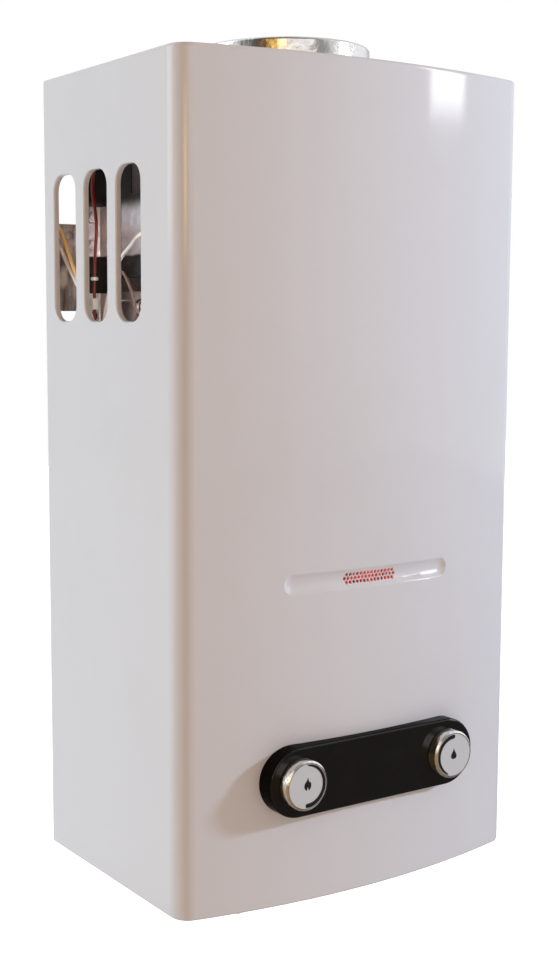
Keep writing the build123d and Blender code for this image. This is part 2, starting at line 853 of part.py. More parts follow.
def thermostat(depth, z, side=-1):
    """Button thermostat on the hood's side wall, with two blade terminals."""
    wall = side * hood_width / 2
    out = side
    foot = (wall, wall + out * thermostat_flange_sheet)
    half = thermostat_flange / 2
    y, z_pair = (-depth - half, -depth + half), (z - thermostat_radius, z + thermostat_radius)
    body = block((min(foot), max(foot)), y, z_pair)
    cap = sorted((wall, wall + out * thermostat_height))
    body += rod("X", (-depth, z), cap[0], cap[1], thermostat_radius - 0.5)
    blade = sorted((wall + out * (thermostat_height - 0.1), wall + out * (thermostat_height + 3)))
    for step in (-1, 1):
        middle = -depth + step * thermostat_terminal
        body += block(blade, (middle - 0.4, middle + 0.4), (z - 1.5, z + 1.5))
    return body


def burner_frame():
    """Tray whose rails carry the burner bars under the shell."""
    t = shell_sheet
    x, y = (-shell_half, shell_half), (-shell_front, -shell_back)
    frame = shell_column(0, frame_bottom, shell_bottom)
    frame -= shell_column(t, frame_bottom - 1, shell_bottom + 1)
    top = bar_bottom
    for depth in (shell_front - 14, shell_back + 14):
        rail = (-depth - frame_rail_width / 2, -depth + frame_rail_width / 2)
        frame += block((x[0] + t / 2, x[1] - t / 2), rail, (top - 2 * t, top))
    for x_bar in bar_places():
        frame -= rod("Y", (x_bar, inlet_z), y[0] - 1, y[0] + t + 1, injector_radius + 1)
    window = (-burner_window_width / 2, burner_window_width / 2)
    middle = groove_height_on_casing
    z = (middle - burner_window_height / 2, middle + burner_window_height / 2)
    frame -= block(window, (y[0] - 1, y[0] + t + 1), z)
    for side in (-1, 1):
        place = (side * electrode_spacing / 2, electrode_height)
        frame -= rod("Y", place, y[0] - 1, y[0] + t + 1, ceramic_radius + 0.2)
    return frame


def bar_places():
    """Where the burner bars lie across the tray."""
    return [bar_pitch * (n - (bar_count - 1) / 2) for n in range(bar_count)]


def burner_bars():
    """Ten alike bars, each with an air inlet in front and a row of flame ports on top."""
    half, deck = bar_width / 2, bar_deck_width / 2
    gap = shell_sheet + bar_end_gap
    y = (-shell_front + gap, -shell_back - gap)
    top = bar_bottom + bar_body_height
    bar = block((-half, half), y, (bar_bottom, top))
    bar = fillet([e for e in bar.edges().filter_by(Axis.Y) if e.center().Z > top - 1], 0.8)
    bar += block((-deck, deck), (y[0] + 4, y[1] - 4), (top - 1, top + bar_deck_height))
    bar -= rod("Y", (0, inlet_z), y[0] - 1, y[0] + 30, bar_inlet_radius - 0.5)
    count = int((y[1] - y[0] - 12) / bar_port_pitch)
    for n in range(count):
        port = shell_mid + bar_port_pitch * (n - (count - 1) / 2)
        y_port = (port - bar_port_width / 2, port + bar_port_width / 2)
        bar -= block((-deck - 1, deck + 1), y_port, (top + bar_deck_height / 2, top + bar_deck_height + 1))
    return Compound([Pos(x, 0, 0) * bar for x in bar_places()])


def manifold_back():
    """The plane that the injectors stand on."""
    return -shell_front - injector_base_length - 1.2


def gas_manifold():
    """Square distribution tube with the riser that feeds it from the gas valve."""
    back = manifold_back()
    y = (back - manifold_size, back)
    z = (inlet_z - manifold_size / 2, inlet_z + manifold_size / 2)
    half, w = manifold_length / 2, manifold_wall
    tube = block((-half, half), y, z)
    x = gas_outlet_x()
    middle = back - manifold_size / 2
    foot = knob_z + valve_block_half
    points = [
        (x, valve_y, foot),
        (x, valve_y, foot + riser_straight),
        (x, middle, foot + riser_straight + riser_jog),
        (x, middle, z[0] + w),
    ]
    path = FilletPolyline(*points, radius=riser_bend)
    end = Plane(origin=path @ 0, z_dir=path % 0)
    flange = block(
        (x - riser_flange / 2, x + riser_flange / 2 - 8),
        (valve_y - riser_flange / 2, valve_y + riser_flange / 2),
        (foot, foot + 3),
    )
    tube += sweep(end * Circle(riser_radius), path=path) + flange
    tube -= block((-half + w, half - w), (y[0] + w, y[1] - w), (z[0] + w, z[1] - w))
    tube -= sweep(end * Circle(riser_radius - riser_wall), path=path)
    for x_bar in bar_places():
        tube -= rod("Y", (x_bar, inlet_z), back - w - 1, back + 1, 1.0)
    return tube


def injectors():
    """Brass jets between the distribution tube and the bars' inlets."""
    back = manifold_back()
    jets = []
    for x in bar_places():
        place = (x, inlet_z)
        jet = along("Y", place, back, back + injector_base_length, hexagon(2 * injector_radius - 0.6))
        tip = back + injector_base_length + injector_tip_length
        jet += rod("Y", place, back + injector_base_length - 0.1, tip, injector_tip_radius)
        jets.append(jet - rod("Y", place, back - 1, tip + 1, injector_bore_radius))
    return Compound(jets)


def electrode_bracket():
    """Plate on the tray's front that holds the electrodes either side of the sight opening."""
    half = electrode_bracket_width / 2
    half_height = electrode_bracket_height / 2
    z = (electrode_height - half_height + 1, electrode_height + half_height)
    y = (-shell_front - electrode_bracket_sheet, -shell_front)
    plate = block((-half, half), y, z)
    plate = fillet(plate.edges().filter_by(Axis.Y), 3)
    window = (-burner_window_width / 2, burner_window_width / 2)
    middle = groove_height_on_casing
    opening = (middle - burner_window_height / 2, middle + burner_window_height / 2)
    plate -= block(window, (y[0] - 1, y[1] + 1), opening)
    for side in (-1, 1):
        place = (side * electrode_spacing / 2, electrode_height)
        plate -= rod("Y", place, y[0] - 1, y[1] + 1, ceramic_radius + 0.05)
    return plate


def electrodes():
    """Ignition electrode and flame sensor: two alike ceramics with a metal pin."""
    pieces = []
    for side in (-1, 1):
        place = (side * electrode_spacing / 2, electrode_height)
        front, back = -shell_front - ceramic_front_reach, -shell_front + ceramic_back_reach
        ceramic = rod("Y", place, front, back, ceramic_radius)
        ceramic += rod("Y", place, back - 0.1, back + electrode_pin_length, electrode_pin_radius)
        pieces.append(ceramic)
    return Compound(pieces)


def gas_outlet_x():
    """Where gas leaves the valve block for the riser, between the seat and the guide."""
    return (seat_x + seat_thickness + gas_right - guide_length) / 2


def gas_valve_body():
    """Cast block with the tap's bore, the solenoid's chamber and the valve disc's chamber."""
    z = (knob_z - valve_block_half, knob_z + valve_block_half)
    y = (block_front, valve_y + valve_block_half)
    body = block((gas_left, gas_right), y, z)
    body = fillet(body.edges().filter_by(Axis.Z), casting_round)
    axis = (valve_y, knob_z)
    tap = (-knob_x, knob_z)
    body -= rod("Y", tap, block_front - 1, block_front + gland_depth + tap_length, tap_bore_radius)
    seat = solenoid_seat_x()
    body -= rod("X", axis, gas_left - 1, seat, solenoid_chamber_radius)
    body -= rod("X", axis, seat - 1, -knob_x, tap_port_radius)
    body -= rod("X", axis, -knob_x, gas_right - disc_chamber_length + 1, tap_port_radius)
    body -= rod("X", axis, gas_right - disc_chamber_length, gas_right + 1, tap_bore_radius)
    body -= rod("Z", (-fitting_x, valve_y), z[0] - 1, knob_z - 7, fitting_bore_radius)
    return body - rod("Z", (gas_outlet_x(), valve_y), knob_z + 9, z[1] + 1, fitting_bore_radius)


def seat_insert():
    """Brass insert with the gas seat at one end and the push rod's guide at the other."""
    axis = (valve_y, knob_z)
    insert = rod("X", axis, seat_x, gas_right, tap_bore_radius - 0.05)
    insert -= rod("X", axis, seat_x - 1, gas_right - guide_length, seat_hole_radius)
    wide = (seat_x + seat_thickness, gas_right - guide_length)
    insert -= rod("X", axis, wide[0], wide[1], tap_bore_radius - 2)
    insert -= rod("X", axis, gas_right - guide_length - 1, gas_right + 1, rod_radius + tap_clearance)
    return insert - rod("Z", (gas_outlet_x(), valve_y), knob_z, knob_z + 20, fitting_bore_radius)


def gas_valve_disc():
    """Faced disc that shuts the gas seat."""
    face = seat_x - valve_rest_gap
    return rod("X", (valve_y, knob_z), face - disc_thickness, face, disc_radius)


def push_rod():
    """Rod from the water diaphragm's plate to the gas disc, with the collar that works the switch."""
    axis = (valve_y, knob_z)
    plate_end = diaphragm_x - diaphragm_plate_gap
    start = seat_x - valve_rest_gap
    stem = rod("X", axis, start, plate_end, rod_radius)
    stem += rod("X", axis, plate_end - diaphragm_plate_thickness, plate_end, diaphragm_plate_radius)
    collar_end = rod_collar_x + collar_on_rod_length
    return stem + rod("X", axis, rod_collar_x, collar_end, collar_on_rod_radius)


def disc_spring():
    """Spring that holds the gas disc towards its seat."""
    inset = spring_wire_radius + 0.1
    start = gas_right - disc_chamber_length + inset
    end = seat_x - valve_rest_gap - disc_thickness - inset
    return coil_spring(start, end, (valve_y, knob_z), spring_radius, spring_wire_radius, disc_spring_turns)


def solenoid_seat_x():
    """The safety valve's seat."""
    return gas_left + solenoid_seat_offset


def solenoid_can():
    """Coil can of the safety valve, with its square flange on the gas block."""
    axis = (valve_y, knob_z)
    flange_start = gas_left - solenoid_flange_thickness
    square = Rectangle(solenoid_flange, solenoid_flange)
    can = along("X", axis, flange_start, gas_left, square)
    can = fillet(can.edges().filter_by(Axis.X), 4)
    can += rod("X", axis, solenoid_end, flange_start + 0.1, solenoid_radius)
    can = fillet([e for e in can.edges() if e.center().X < solenoid_end + 0.01], 1.5)
    return can - rod("X", axis, solenoid_bore_end, gas_left + 1, plunger_radius + tap_clearance)


def solenoid_plunger():
    """Plunger and disc of the safety valve."""
    axis = (valve_y, knob_z)
    face = solenoid_seat_x() - valve_rest_gap
    plunger = rod("X", axis, face - plunger_disc_thickness, face, plunger_disc_radius)
    start = solenoid_bore_end + plunger_end_gap + plunger_travel
    return plunger + rod("X", axis, start, face - 0.1, plunger_radius)


def solenoid_spring():
    """Spring that shuts the safety valve."""
    inset = spring_wire_radius + 0.1
    start = gas_left + inset
    end = solenoid_seat_x() - valve_rest_gap - plunger_disc_thickness - inset
    axis = (valve_y, knob_z)
    return coil_spring(start, end, axis, spring_radius, spring_wire_radius, solenoid_spring_turns)


def housing_screw_places():
    """Centres of the screws round the diaphragm housing."""
    places = []
    for n in range(housing_screw_count):
        angle = 2 * pi * n / housing_screw_count + pi / 6
        places.append(
            (valve_y + housing_screw_circle * cos(angle), knob_z + housing_screw_circle * sin(angle))
        )
    return places


def diaphragm_cover():
    """Left half of the diaphragm housing."""
    axis = (valve_y, knob_z)
    half = rod("X", axis, linkage_right, diaphragm_x, housing_radius)
    half -= rod("X", axis, diaphragm_x - cavity_depth, diaphragm_x + 1, cavity_radius)
    half -= rod("X", axis, linkage_right - 1, diaphragm_x, rod_radius + tap_clearance)
    for place in housing_screw_places():
        half -= rod("X", place, linkage_right - 1, diaphragm_x + 1, screw_radius + screw_hole_gap)
    return half


def diaphragm():
    """Rubber diaphragm between the housing's halves."""
    disc = rod("X", (valve_y, knob_z), diaphragm_x, body_x, housing_radius)
    for place in housing_screw_places():
        disc -= rod("X", place, diaphragm_x - 1, body_x + 1, screw_radius + screw_hole_gap)
    return disc


def water_valve_body():
    """Brass casting: right half of the housing and the block with the flow tap."""
    axis = (valve_y, knob_z)
    body = rod("X", axis, body_x, body_x + housing_thickness, housing_radius)
    y = (block_front, valve_y + valve_block_half)
    z = (knob_z - water_block_half_height, knob_z + water_block_half_height)
    casting = block((body_x + housing_thickness - 2, water_right), y, z)
    body += fillet(casting.edges().filter_by(Axis.X), casting_round)
    tap = (knob_x, knob_z)
    body -= rod("Y", tap, block_front - 1, block_front + gland_depth + tap_length, tap_bore_radius)
    body -= rod("X", axis, body_x - 1, body_x + cavity_depth, cavity_radius)
    body -= rod("X", axis, body_x, fitting_x + 2, tap_port_radius)
    body -= rod("Z", (fitting_x, valve_y), z[0] - 1, knob_z + 2, fitting_bore_radius)
    outlet = (body_x + water_port_offset + 2, valve_y)
    body -= rod("Z", outlet, knob_z - 2, z[1] + 1, fitting_bore_radius)
    for place in housing_screw_places():
        end = body_x + housing_thickness - 2.5
        body -= rod("X", place, body_x - 1, end, screw_radius + screw_hole_gap)
    return body


def housing_screws():
    """Screws that hold the diaphragm housing together."""
    screws = []
    for place in housing_screw_places():
        screw = rod("X", place, linkage_right - screw_head_height, linkage_right, screw_head_radius)
        end = linkage_right + housing_screw_length - 2
        screws.append(screw + rod("X", place, linkage_right - 0.1, end, screw_radius))
    return Compound(screws)


def linkage_bracket():
    """Channel that joins the gas block to the diaphragm housing across the open gap."""
    t = linkage_sheet
    y = (valve_y - linkage_half_width, valve_y + linkage_half_width)
    z = (knob_z - linkage_drop, knob_z + linkage_rise)
    bracket = block((gas_right, gas_right + t), y, z)
    bracket += block((linkage_right - t, linkage_right), y, z)
    bracket += block((gas_right, linkage_right), y, (z[0], z[0] + t))
    return bracket - rod("X", (valve_y, knob_z), gas_right - 1, linkage_right + 1, rod_radius + 2)


def switch_places():
    """Faces of the microswitch: its left side, its right side, its underside and its top."""
    left = pivot_x + lever_thickness / 2 + lever_gap + button_proud
    bottom = knob_z + switch_bottom_rise
    return left, linkage_right - linkage_sheet, bottom, bottom + switch_height


def microswitch():
    """Switch body on the channel, with the ears that carry the lever."""
    left, right, bottom, top = switch_places()
    y = (valve_y - switch_length / 2, valve_y + switch_length / 2)
    body = block((left, right), y, (bottom, top))
    ear_z = (pivot_z - 2, pivot_z + 2)
    inner = lever_width / 2 + 0.5
    for side in (-1, 1):
        ear_y = sorted((valve_y + side * inner, valve_y + side * (inner + switch_ear)))
        body += block((pivot_x - 2.5, left + 1), ear_y, ear_z)
    ears = (valve_y - inner - switch_ear, valve_y + inner + switch_ear)
    body -= rod("Y", (pivot_x, pivot_z), ears[0] - 1, ears[1] + 1, lever_pin_radius + lever_pin_gap)
    z = pivot_z + button_rise
    gap = 0.1
    hole_y = (valve_y - button_depth / 2 - gap, valve_y + button_depth / 2 + gap)
    hole_z = (z - button_width / 2 - gap, z + button_width / 2 + gap)
    return body - block((left - 1, left + button_travel + 2), hole_y, hole_z)


def switch_button():
    """The microswitch's button."""
    left = switch_places()[0]
    z = pivot_z + button_rise
    x = (left - button_proud, left + 1.8)
    y = (valve_y - button_depth / 2, valve_y + button_depth / 2)
    return block(x, y, (z - button_width / 2, z + button_width / 2))


def switch_lever():
    """Lever between the rod's collar and the button, with its pin."""
    x = (pivot_x - lever_thickness / 2, pivot_x + lever_thickness / 2)
    y = (valve_y - lever_width / 2, valve_y + lever_width / 2)
    lever = block(x, y, (pivot_z - lever_arm_down, pivot_z + lever_arm_up))
    pin = (valve_y - lever_pin_length / 2, valve_y + lever_pin_length / 2)
    return lever + rod("Y", (pivot_x, pivot_z), pin[0], pin[1], lever_pin_radius)


def bottom_fitting(x, top):
    """Threaded pipe connection below the casing, with a hexagon under what it feeds."""
    place = (x, valve_y)
    relief_start = -fitting_reach + free_thread_length
    fitting = rod("Z", place, -fitting_reach, relief_start, thread_radius)
    fitting += rod("Z", place, relief_start - 0.1, base_bottom, thread_radius - thread_relief)
    fitting += rod("Z", place, base_bottom - 0.1, thread_top, thread_radius)
    fitting += rod("Z", place, thread_top - 0.1, top, fitting_neck_radius)
    if top > thread_top + fitting_hex_height:
        fitting += along("Z", place, top - fitting_hex_height, top, hexagon(fitting_hex_width))
    return fitting - rod("Z", place, -fitting_reach - 1, top + 1, fitting_bore_radius)


def lock_nuts():
    """Nuts that hold the three connections to the base plate."""
    nuts = []
    for x in (-fitting_x, 0, fitting_x):
        place = (x, valve_y)
        nut = along("Z", place, base_top, base_top + lock_nut_height, hexagon(lock_nut_width))
        start, end = base_top - 1, base_top + lock_nut_height + 1
        nuts.append(nut - rod("Z", place, start, end, thread_radius + lock_nut_gap))
    return Compound(nuts)


def inlet_strainer():
    """Strainer cup in the cold connection, open downwards."""
    place = (fitting_x, valve_y)
    start = -fitting_reach + 2
    cup = rod("Z", place, start, start + strainer_length, strainer_radius)
    inner = strainer_radius - strainer_wall
    cup -= rod("Z", place, start - 1, start + strainer_length - strainer_wall, inner)
    for n in range(3):
        z = start + 4 + 5 * n
        cup -= block((fitting_x - 1.5, fitting_x + 1.5), (valve_y - 10, valve_y + 10), (z, z + 2.5))
    return cup


def battery_box_space():
    """The battery box's outside, as a pair on each axis."""
    wall = battery_box_wall
    width = 4 * battery_radius + 3 * battery_gap + 2 * wall
    deep = 2 * battery_radius + 2 * battery_gap + 2 * wall
    bottom = battery_box_bottom
    x = (battery_box_left, battery_box_left + width)
    y = (-battery_box_back - deep, -battery_box_back)
    return x, y, (bottom, bottom + battery_length + wall + 2 * battery_gap)


def lid_axis():
    """Where the battery lid's hinge lies, as (depth, height)."""
    return (-battery_box_back + lid_hinge_offset, battery_box_bottom - battery_lid_thickness / 2)


def hinge_spans(inner):
    """Stretches of the lid's two knuckles, or of the lugs at their outer ends."""
    x = battery_box_space()[0]
    left, right = x[0] + lid_knuckle_inset, x[1] - lid_knuckle_inset
    if inner:
        return [(left, left + lid_knuckle_length), (right - lid_knuckle_length, right)]
    gap = lid_pin_gap
    return [(left - gap - lid_lug_length, left - gap), (right + gap, right + gap + lid_lug_length)]


def battery_box():
    """Box for two cells, open below, with the lugs and pins of its lid."""
    x, y, z = battery_box_space()
    wall = battery_box_wall
    box = block(x, y, z)
    box -= block((x[0] + wall, x[1] - wall), (y[0] + wall, y[1] - wall), (z[0] - 1, z[1] - wall))
    depth, height = lid_axis()
    for span, knuckle in zip(hinge_spans(False), hinge_spans(True)):
        lug = block(span, (-battery_box_back, depth + lid_hinge_radius), (height - 2, z[0] + 10))
        box += lug - block(span, (y[0], -battery_box_back), (height - 3, z[0]))
        pin = (min(span[0], knuckle[0] + 1), max(span[1], knuckle[1] - 1))
        box += rod("X", (depth, height), pin[0], pin[1], lid_pin_radius)
    stays_x = (x[0] + 20, x[0] + 40)
    box += block(stays_x, (-battery_box_back - 0.1, -panel_sheet), (z[1] - 12, z[1] - 4))
    return box


def battery_lid():
    """Lid under the battery box, with two knuckles and a catch."""
    x, y, z = battery_box_space()
    depth, height = lid_axis()
    low = z[0] - battery_lid_thickness
    lid = block(x, y, (low, z[0]))
    for span in hinge_spans(True):
        lid += block(span, (y[1] - 0.1, depth), (height - 1.2, height + 1.2))
        lid += rod("X", (depth, height), span[0], span[1], lid_hinge_radius)
    for span in hinge_spans(True):
        lid -= rod("X", (depth, height), span[0] - 1, span[1] + 1, lid_pin_radius + lid_pin_gap)
    for span in hinge_spans(False):
        notch = (span[0] - lid_catch_gap, span[1] + lid_catch_gap)
        lid -= block(notch, (y[1] - lid_lug_notch, y[1] + 1), (low - 1, z[0] + 1))
    middle = (x[0] + x[1]) / 2
    catch_y = (y[0] - lid_catch_gap - lid_catch_thickness, y[0] - lid_catch_gap)
    lid += block((middle - 8, middle + 8), catch_y, (low, z[0] + lid_catch_height))
    return lid + block((middle - 8, middle + 8), (catch_y[0], y[0] + 1), (low, z[0]))


def battery_cells():
    """Two alike cells side by side."""
    x, y, z = battery_box_space()
    middle = (y[0] + y[1]) / 2
    cells = []
    for n in range(2):
        place = (x[0] + battery_box_wall + (battery_radius + battery_gap) * (2 * n + 1), middle)
        start = z[0] + battery_gap
        can = rod("Z", place, start, start + battery_length - 1.5, battery_radius)
        cells.append(can + rod("Z", place, start, start + battery_length, 4.5))
    return Compound(cells)


def ignition_box():
    """Ignition and control box on the back panel."""
    x = (ignition_box_left, ignition_box_left + ignition_box_width)
    y = (-panel_sheet - ignition_box_thickness, -panel_sheet)
    z = (ignition_box_bottom, ignition_box_bottom + ignition_box_height)
    box = block(x, y, z)
    return fillet([e for e in box.edges() if e.center().Y < y[0] + 0.1], 2)


# Leads: each runs from a sensor or an electrode down to the top of the ignition box
box_top = ignition_box_bottom + ignition_box_height
terminal_x = -hood_width / 2 - thermostat_height - 3
electrode_x = electrode_spacing / 2
electrode_end = -shell_front - ceramic_front_reach


def red_lead():
    """Lead from the flue thermostat, with the plug half way down."""
    return lead([
        (terminal_x - 1, -55, 540), (-116, -40, 524), (-118, -19, 496), (-118, -28.5, 463),
        (-118, -25, 441), (-118, -23, 409), (-118, -25, 360), (-116, -21, 300), (-117, -24, 230),
        (-108, -20, 170), (-90, -18, 150), (-90, -18, box_top),
    ])


def pale_leads():
    """Two bare-looking leads of the flue thermostat and one of the overheat thermostat."""
    routes = [
        [
            (terminal_x - 1, -61, 540), (-124, -47, 526), (-138, -16, 515), (-141.5, -3.4, 500),
            (-141.5, -3.4, 470), (-134.5, -5, 458), (-134, -24, 429), (-126, -30, 405),
            (-122, -27, 360), (-120, -30, 300), (-121, -27, 230), (-112, -25, 172),
            (-96, -23, 152), (-96, -23, box_top),
        ],
        [
            (terminal_x - 1, -64, 546), (-127, -46, 533), (-139, -19, 520), (-141.5, -6.3, 504),
            (-141.5, -6.3, 456), (-134, -8, 440), (-133, -25, 420), (-125, -33, 398),
            (-118, -33, 350), (-115, -29, 300), (-113, -31, 230), (-106, -26, 176),
            (-84, -23, 154), (-84, -23, box_top),
        ],
        [
            (terminal_x - 1, -82, 455), (-112, -74, 452), (-108, -60, 447), (-108, -44, 438.5),
            (-112, -34, 415), (-113, -24, 380), (-110, -26, 340), (-111, -21, 270),
            (-104, -24, 190), (-78, -20, 156), (-78, -20, box_top),
        ],
    ]
    return Compound([lead(route) for route in routes])


def brown_lead():
    """Lead that climbs with the others, turns over and runs to the flame sensor in front."""
    return lead([
        (-72, -12, box_top), (-72, -12, 150), (-104, -14, 200), (-106, -15, 300),
        (-105, -20, 390), (-106, -32, 428), (-108, -48, 430), (-108, -67, 407),
        (-109, -64, 380), (-112, -90, 320), (-108, -140, 268), (-94, -176, 244),
        (-70, -186, 230), (-electrode_x, electrode_end - 10, electrode_height),
        (-electrode_x, electrode_end, electrode_height),
    ])


def ignition_lead():
    """High-tension lead from the box to the ignition electrode."""
    return lead([
        (-30, -18, box_top), (-30, -18, 146), (-42, -62, 158), (8, -84, 164), (66, -96, 160),
        (108, -140, 166), (100, -178, 184), (72, -186, 208),
        (electrode_x, electrode_end - 10, electrode_height),
        (electrode_x, electrode_end, electrode_height),
    ], radius=1.5)


def wire_connector():
    """Plug on the red lead."""
    plug = block((-120.2, -115.8), (-25.6, -21), (402, 410))
    plug = fillet(plug.edges().filter_by(Axis.Z), 0.6)
    return plug - lead([(-118, -25, 441), (-118, -23, 409), (-118, -25, 360)], lead_radius + 0.2)


NODES = {
    "front_cover": front_cover,
    "sight_pane": sight_pane,
    "control_plate": control_plate,
    "gas_knob": lambda: knob(-1),
    "gas_knob_face": lambda: knob_cap(-1),
    "water_knob": lambda: knob(1),
    "water_knob_face": lambda: knob_cap(1),
    "chassis": chassis,
    "base_plate": base_plate,
    "cover_screws": cover_screws,
    "draft_hood": draft_hood,
    "hood_baffle": hood_baffle,
    "flue_collar": flue_collar,
    "flue_thermostat": lambda: thermostat(flue_thermostat_depth, flue_thermostat_height),
    "overheat_thermostat": lambda: thermostat(overheat_thermostat_depth, overheat_thermostat_height),
    "combustion_shell": combustion_shell,
    "exchanger_fins": exchanger_fins,
    "exchanger_tube": exchanger_tube,
    "water_coil": water_coil,
    "hot_pipe": hot_pipe,
    "exchanger_brackets": exchanger_brackets,
    "burner_frame": burner_frame,
    "burner_bars": burner_bars,
    "gas_manifold": gas_manifold,
    "injectors": injectors,
    "electrode_bracket": electrode_bracket,
    "electrodes": electrodes,
    "gas_valve_body": gas_valve_body,
    "gas_plug": lambda: tap_spindle(-1),
    "gland_nuts": gland_nuts,
    "seat_insert": seat_insert,
    "gas_valve_disc": gas_valve_disc,
    "disc_spring": disc_spring,
    "solenoid_can": solenoid_can,
    "solenoid_plunger": solenoid_plunger,
    "solenoid_spring": solenoid_spring,
    "diaphragm_cover": diaphragm_cover,
    "diaphragm": diaphragm,
    "water_valve_body": water_valve_body,
    "push_rod": push_rod,
    "housing_screws": housing_screws,
    "flow_plug": lambda: tap_spindle(1),
    "linkage_bracket": linkage_bracket,
    "microswitch": microswitch,
    "switch_button": switch_button,
    "switch_lever": switch_lever,
    "gas_inlet": lambda: bottom_fitting(-fitting_x, knob_z - valve_block_half),
    "cold_inlet": lambda: bottom_fitting(fitting_x, knob_z - water_block_half_height),
    "hot_outlet": lambda: bottom_fitting(0, hot_outlet_top),
    "lock_nuts": lock_nuts,
    "inlet_strainer": inlet_strainer,
    "ignition_box": ignition_box,
    "battery_box": battery_box,
    "battery_lid": battery_lid,
    "battery_cells": battery_cells,
    "red_lead": red_lead,
    "pale_leads": pale_leads,
    "brown_lead": brown_lead,
    "ignition_lead": ignition_lead,
    "wire_connector": wire_connector,
}

os.makedirs("parts", exist_ok=True)
for name, make in NODES.items():
    export_step(make(), f"parts/{name}.step")
    print(name)
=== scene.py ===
"""A wall-hung gas water heater with a white enamelled cover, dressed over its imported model."""
import bmesh
import bpy
import json
from math import cos, pi, radians, sin
from mathutils import Matrix, Vector

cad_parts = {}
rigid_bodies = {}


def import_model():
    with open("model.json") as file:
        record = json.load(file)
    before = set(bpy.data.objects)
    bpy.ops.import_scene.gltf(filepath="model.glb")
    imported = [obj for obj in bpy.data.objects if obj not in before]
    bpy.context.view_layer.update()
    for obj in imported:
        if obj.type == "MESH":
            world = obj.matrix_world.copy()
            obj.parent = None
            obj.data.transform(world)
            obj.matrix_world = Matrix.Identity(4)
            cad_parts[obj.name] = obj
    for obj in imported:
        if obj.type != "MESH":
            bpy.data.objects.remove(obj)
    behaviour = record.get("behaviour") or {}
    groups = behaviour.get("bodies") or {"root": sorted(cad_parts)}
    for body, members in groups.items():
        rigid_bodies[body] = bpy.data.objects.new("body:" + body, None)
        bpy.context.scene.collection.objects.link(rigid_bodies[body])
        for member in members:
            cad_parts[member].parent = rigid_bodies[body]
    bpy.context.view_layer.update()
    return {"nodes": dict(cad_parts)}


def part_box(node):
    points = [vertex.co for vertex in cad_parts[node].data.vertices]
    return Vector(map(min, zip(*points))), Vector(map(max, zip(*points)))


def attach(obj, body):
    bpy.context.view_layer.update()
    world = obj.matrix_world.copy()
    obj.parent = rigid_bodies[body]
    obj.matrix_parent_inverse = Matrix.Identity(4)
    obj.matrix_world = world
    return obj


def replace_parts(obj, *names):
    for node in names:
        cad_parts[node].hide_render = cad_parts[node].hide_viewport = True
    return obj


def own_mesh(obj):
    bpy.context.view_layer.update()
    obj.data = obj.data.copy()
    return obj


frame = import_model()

nodes = frame["nodes"]


# Back panel, base plate and the small plates of the burner and the valves.
# Sheet steel dipped in zinc, which sets in flat crystals and dulls to grey, cut, folded and spot welded.
# Painted shade, near black, darkens the inner faces of the panel and the hood at the sides, above and below a
# lit band at the height of the air slots.
def new_material(name, colour, roughness, metallic=0.0):
    """A material with one Principled shader, and that shader."""
    material = bpy.data.materials.new(name)
    material.use_nodes = True
    shader = material.node_tree.nodes["Principled BSDF"]
    shader.inputs["Base Color"].default_value = (*colour, 1.0)
    shader.inputs["Roughness"].default_value = roughness
    shader.inputs["Metallic"].default_value = metallic
    return material, shader


def add_node(tree, kind, settings=None, **values):
    """A node of this kind; settings are its properties and values its sockets, number or link."""
    node = tree.nodes.new(kind)
    for key, value in (settings or {}).items():
        setattr(node, key, value)
    for key, value in values.items():
        socket = node.inputs[int(key[1:])] if key[1:].isdigit() else node.inputs[key.replace("_", " ")]
        if isinstance(value, bpy.types.NodeSocket):
            tree.links.new(value, socket)
        else:
            socket.default_value = value
    return node


def maths(tree, operation, *values):
    """The result of one sum, for any node tree."""
    sockets = {f"i{n}": value for n, value in enumerate(values)}
    return add_node(tree, "ShaderNodeMath", {"operation": operation}, **sockets).outputs[0]


def vector_maths(tree, operation, *values, **named):
    """The result of one sum on vectors, for any node tree."""
    sockets = {f"i{n}": value for n, value in enumerate(values)}
    node = add_node(tree, "ShaderNodeVectorMath", {"operation": operation}, **sockets, **named)
    return node.outputs["Value" if operation == "DISTANCE" else "Vector"]


def ramp(tree, value, start, end, low=0.0, high=1.0, smooth=False):
    """Goes from low to high as the value goes from start to end."""
    settings = {"interpolation_type": "SMOOTHSTEP"} if smooth else None
    node = add_node(tree, "ShaderNodeMapRange", settings, Value=value, i1=start, i2=end, i3=low, i4=high)
    return node.outputs[0]


def blend(tree, share, first, second):
    """The first colour with this share of the second mixed in."""
    node = add_node(tree, "ShaderNodeMix", {"data_type": "RGBA"}, Factor=share, i6=first, i7=second)
    return node.outputs[2]


def object_place(tree):
    """Where a point lies on its piece, as one vector and as three numbers."""
    place = add_node(tree, "ShaderNodeTexCoord").outputs["Object"]
    return place, add_node(tree, "ShaderNodeSeparateXYZ", Vector=place).outputs


def new_group(name, inputs, outputs, kind="ShaderNodeTree"):
    """An empty node group with its named sockets, and its two end nodes."""
    group = bpy.data.node_groups.new(name, kind)
    for label, socket_type, value in inputs:
        socket = group.interface.new_socket(label, in_out="INPUT", socket_type=socket_type)
        if value is not None:
            socket.default_value = value
    for label, socket_type in outputs:
        group.interface.new_socket(label, in_out="OUTPUT", socket_type=socket_type)
    return group, group.nodes.new("NodeGroupInput"), group.nodes.new("NodeGroupOutput")


def use_group(tree, group, **values):
    """A shader group placed in a material with its own values."""
    return add_node(tree, "ShaderNodeGroup", {"node_tree": group}, **values)


def bump(tree, shader, height, depth, strength=1.0):
    """Feeds a height in metres into the shader's normal."""
    node = add_node(tree, "ShaderNodeBump", Height=height, Distance=depth, Strength=strength)
    tree.links.new(node.outputs["Normal"], shader.inputs["Normal"])


